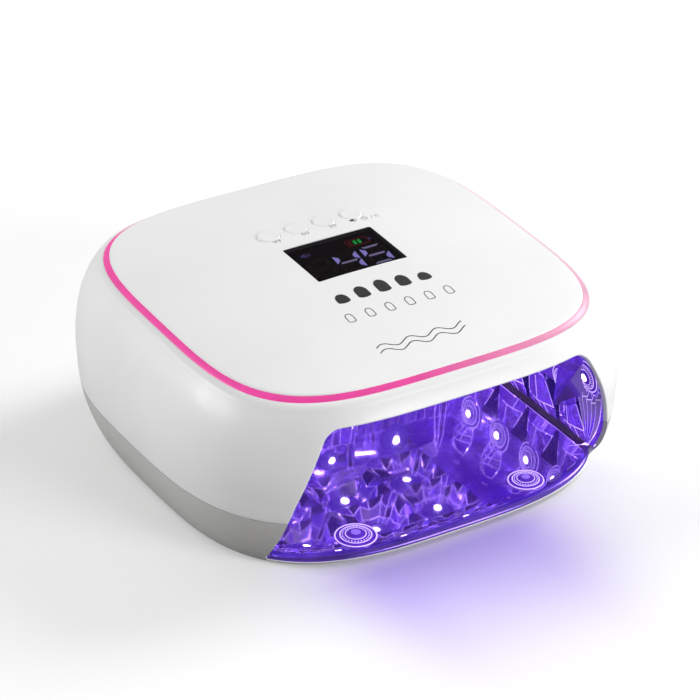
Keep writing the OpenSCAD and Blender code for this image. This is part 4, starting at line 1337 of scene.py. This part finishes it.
def floor_material():
    """Pale sweep with a painted pool of the lamp's violet light in front of the mouth; it lights the lamp
    less than it shows the camera.
    """
    n = Nodes("floor")
    x, y, _ = n.add("SeparateXYZ", {0: n.coordinates}).outputs
    # Distance from a stretch of the mouth's lip, counted double along the lip.
    beyond = n.maths("SUBTRACT", n.maths("ABSOLUTE", n.maths("SUBTRACT", x, GLOW_X * MM)), GLOW_HALF_W * MM)
    aside = n.maths("MULTIPLY", n.maths("MAXIMUM", beyond, 0.0), 2.0)
    ahead = n.maths("MAXIMUM", n.maths("SUBTRACT", (PLAN_Y - 118) * MM, y), 0.0)
    squared = n.maths("ADD", n.maths("MULTIPLY", aside, aside), n.maths("MULTIPLY", ahead, ahead))
    fading = n.maths("EXPONENT", n.maths("DIVIDE", squared, -(GLOW_REACH * MM) ** 2))
    front = n.remap(y, 1.0, 0.0, (PLAN_Y - 112) * MM, (PLAN_Y - 84) * MM)
    ripple = n.remap(n.noise(9.0, 2.0), 0.92, 1.06)
    # strength of the painted violet light, which tints both the diffuse colour and the emission
    tint = n.maths("MULTIPLY", n.maths("MULTIPLY", fading, front), ripple)
    seen = n.add("BsdfDiffuse", {"Color": n.blend_colour(tint, (0.80, 0.80, 0.80), (0.45, 0.37, 0.74))})
    glow = n.add("Emission", {"Color": n.blend_colour(tint, (1, 1, 1), (0.53, 0.44, 0.89)), "Strength": 0.22})
    shown = n.add("AddShader", {0: seen.outputs[0], 1: glow.outputs[0]}).outputs[0]
    bounce = n.add("BsdfDiffuse", {"Color": (0.34, 0.34, 0.34, 1)}).outputs[0]
    return n.surface(n.mixed(n.add("LightPath").outputs["Is Camera Ray"], bounce, shown))


AZIMUTH = math.radians(-30.95)  # the photo's point of view
ELEVATION = math.radians(29.46)
CAMERA_DISTANCE_M = 1.523
LIGHT_SIZE = 1.2
LIGHT_TARGET = Vector((0, 0, 0.05))
# Place of each light, in metres, and its power.
LIGHTS = {"key": ((2.0, 0.2, 1.3), 40), "front": ((0.9, -2.1, 0.7), 37), "side": ((-2.0, 1.0, 0.85), 35)}


def stage_floor():
    data = bpy.data.meshes.new("floor")
    corners = ((-1, -1), (1, -1), (1, 1), (-1, 1))
    data.from_pydata([(x * FLOOR_HALF_M, y * FLOOR_HALF_M, 0) for x, y in corners], [], [(0, 1, 2, 3)])
    data.materials.append(floor_material())
    add_object("floor", data)


def aim(thing, direction):
    thing.rotation_mode = "QUATERNION"
    thing.rotation_quaternion = direction.to_track_quat("-Z", "Y")


def area_light(name, spot, power):
    """A soft round light that faces the lamp."""
    data = bpy.data.lights.new(name, "AREA")
    data.shape = "DISK"
    data.size = LIGHT_SIZE
    data.energy = power
    light = add_object(name, data)
    light.location = spot
    aim(light, LIGHT_TARGET - Vector(spot))


def room():
    """White surroundings, with a dark flag behind the camera that shades what faces it."""
    n = Nodes("studio", bpy.data.worlds.new("studio"))
    inputs = {0: n.coordinates, 1: view_back()}
    toward = n.add("VectorMath", inputs, operation="DOT_PRODUCT").outputs["Value"]
    level = n.remap(toward, 0.46, 0.06, 0.25, 0.9)
    return n.surface(n.add("Background", {"Color": (1, 1, 1, 1), "Strength": level}).outputs[0])


def view_back():
    """Unit vector from the lamp towards the camera."""
    level = math.cos(ELEVATION)
    return Vector((math.sin(AZIMUTH) * level, -math.cos(AZIMUTH) * level, math.sin(ELEVATION)))


def studio():
    scene = bpy.context.scene
    scene.world = room()
    for name, (spot, power) in LIGHTS.items():
        area_light(name, spot, power)
    scene.view_settings.view_transform = "Standard"
    scene.view_settings.look = "None"
    scene.render.film_transparent = False


def camera():
    back = view_back()
    data = bpy.data.cameras.new("camera")
    data.lens, data.sensor_width = 164.6, 36.0
    data.shift_x, data.shift_y = 0.0086, -0.0074
    data.clip_start, data.clip_end = 0.01, 50
    eye = add_object("camera", data)
    eye.location = place((0, 0, 50)) + back * CAMERA_DISTANCE_M
    aim(eye, -back)
    bpy.context.scene.camera = eye


stage_floor()
studio()
camera()
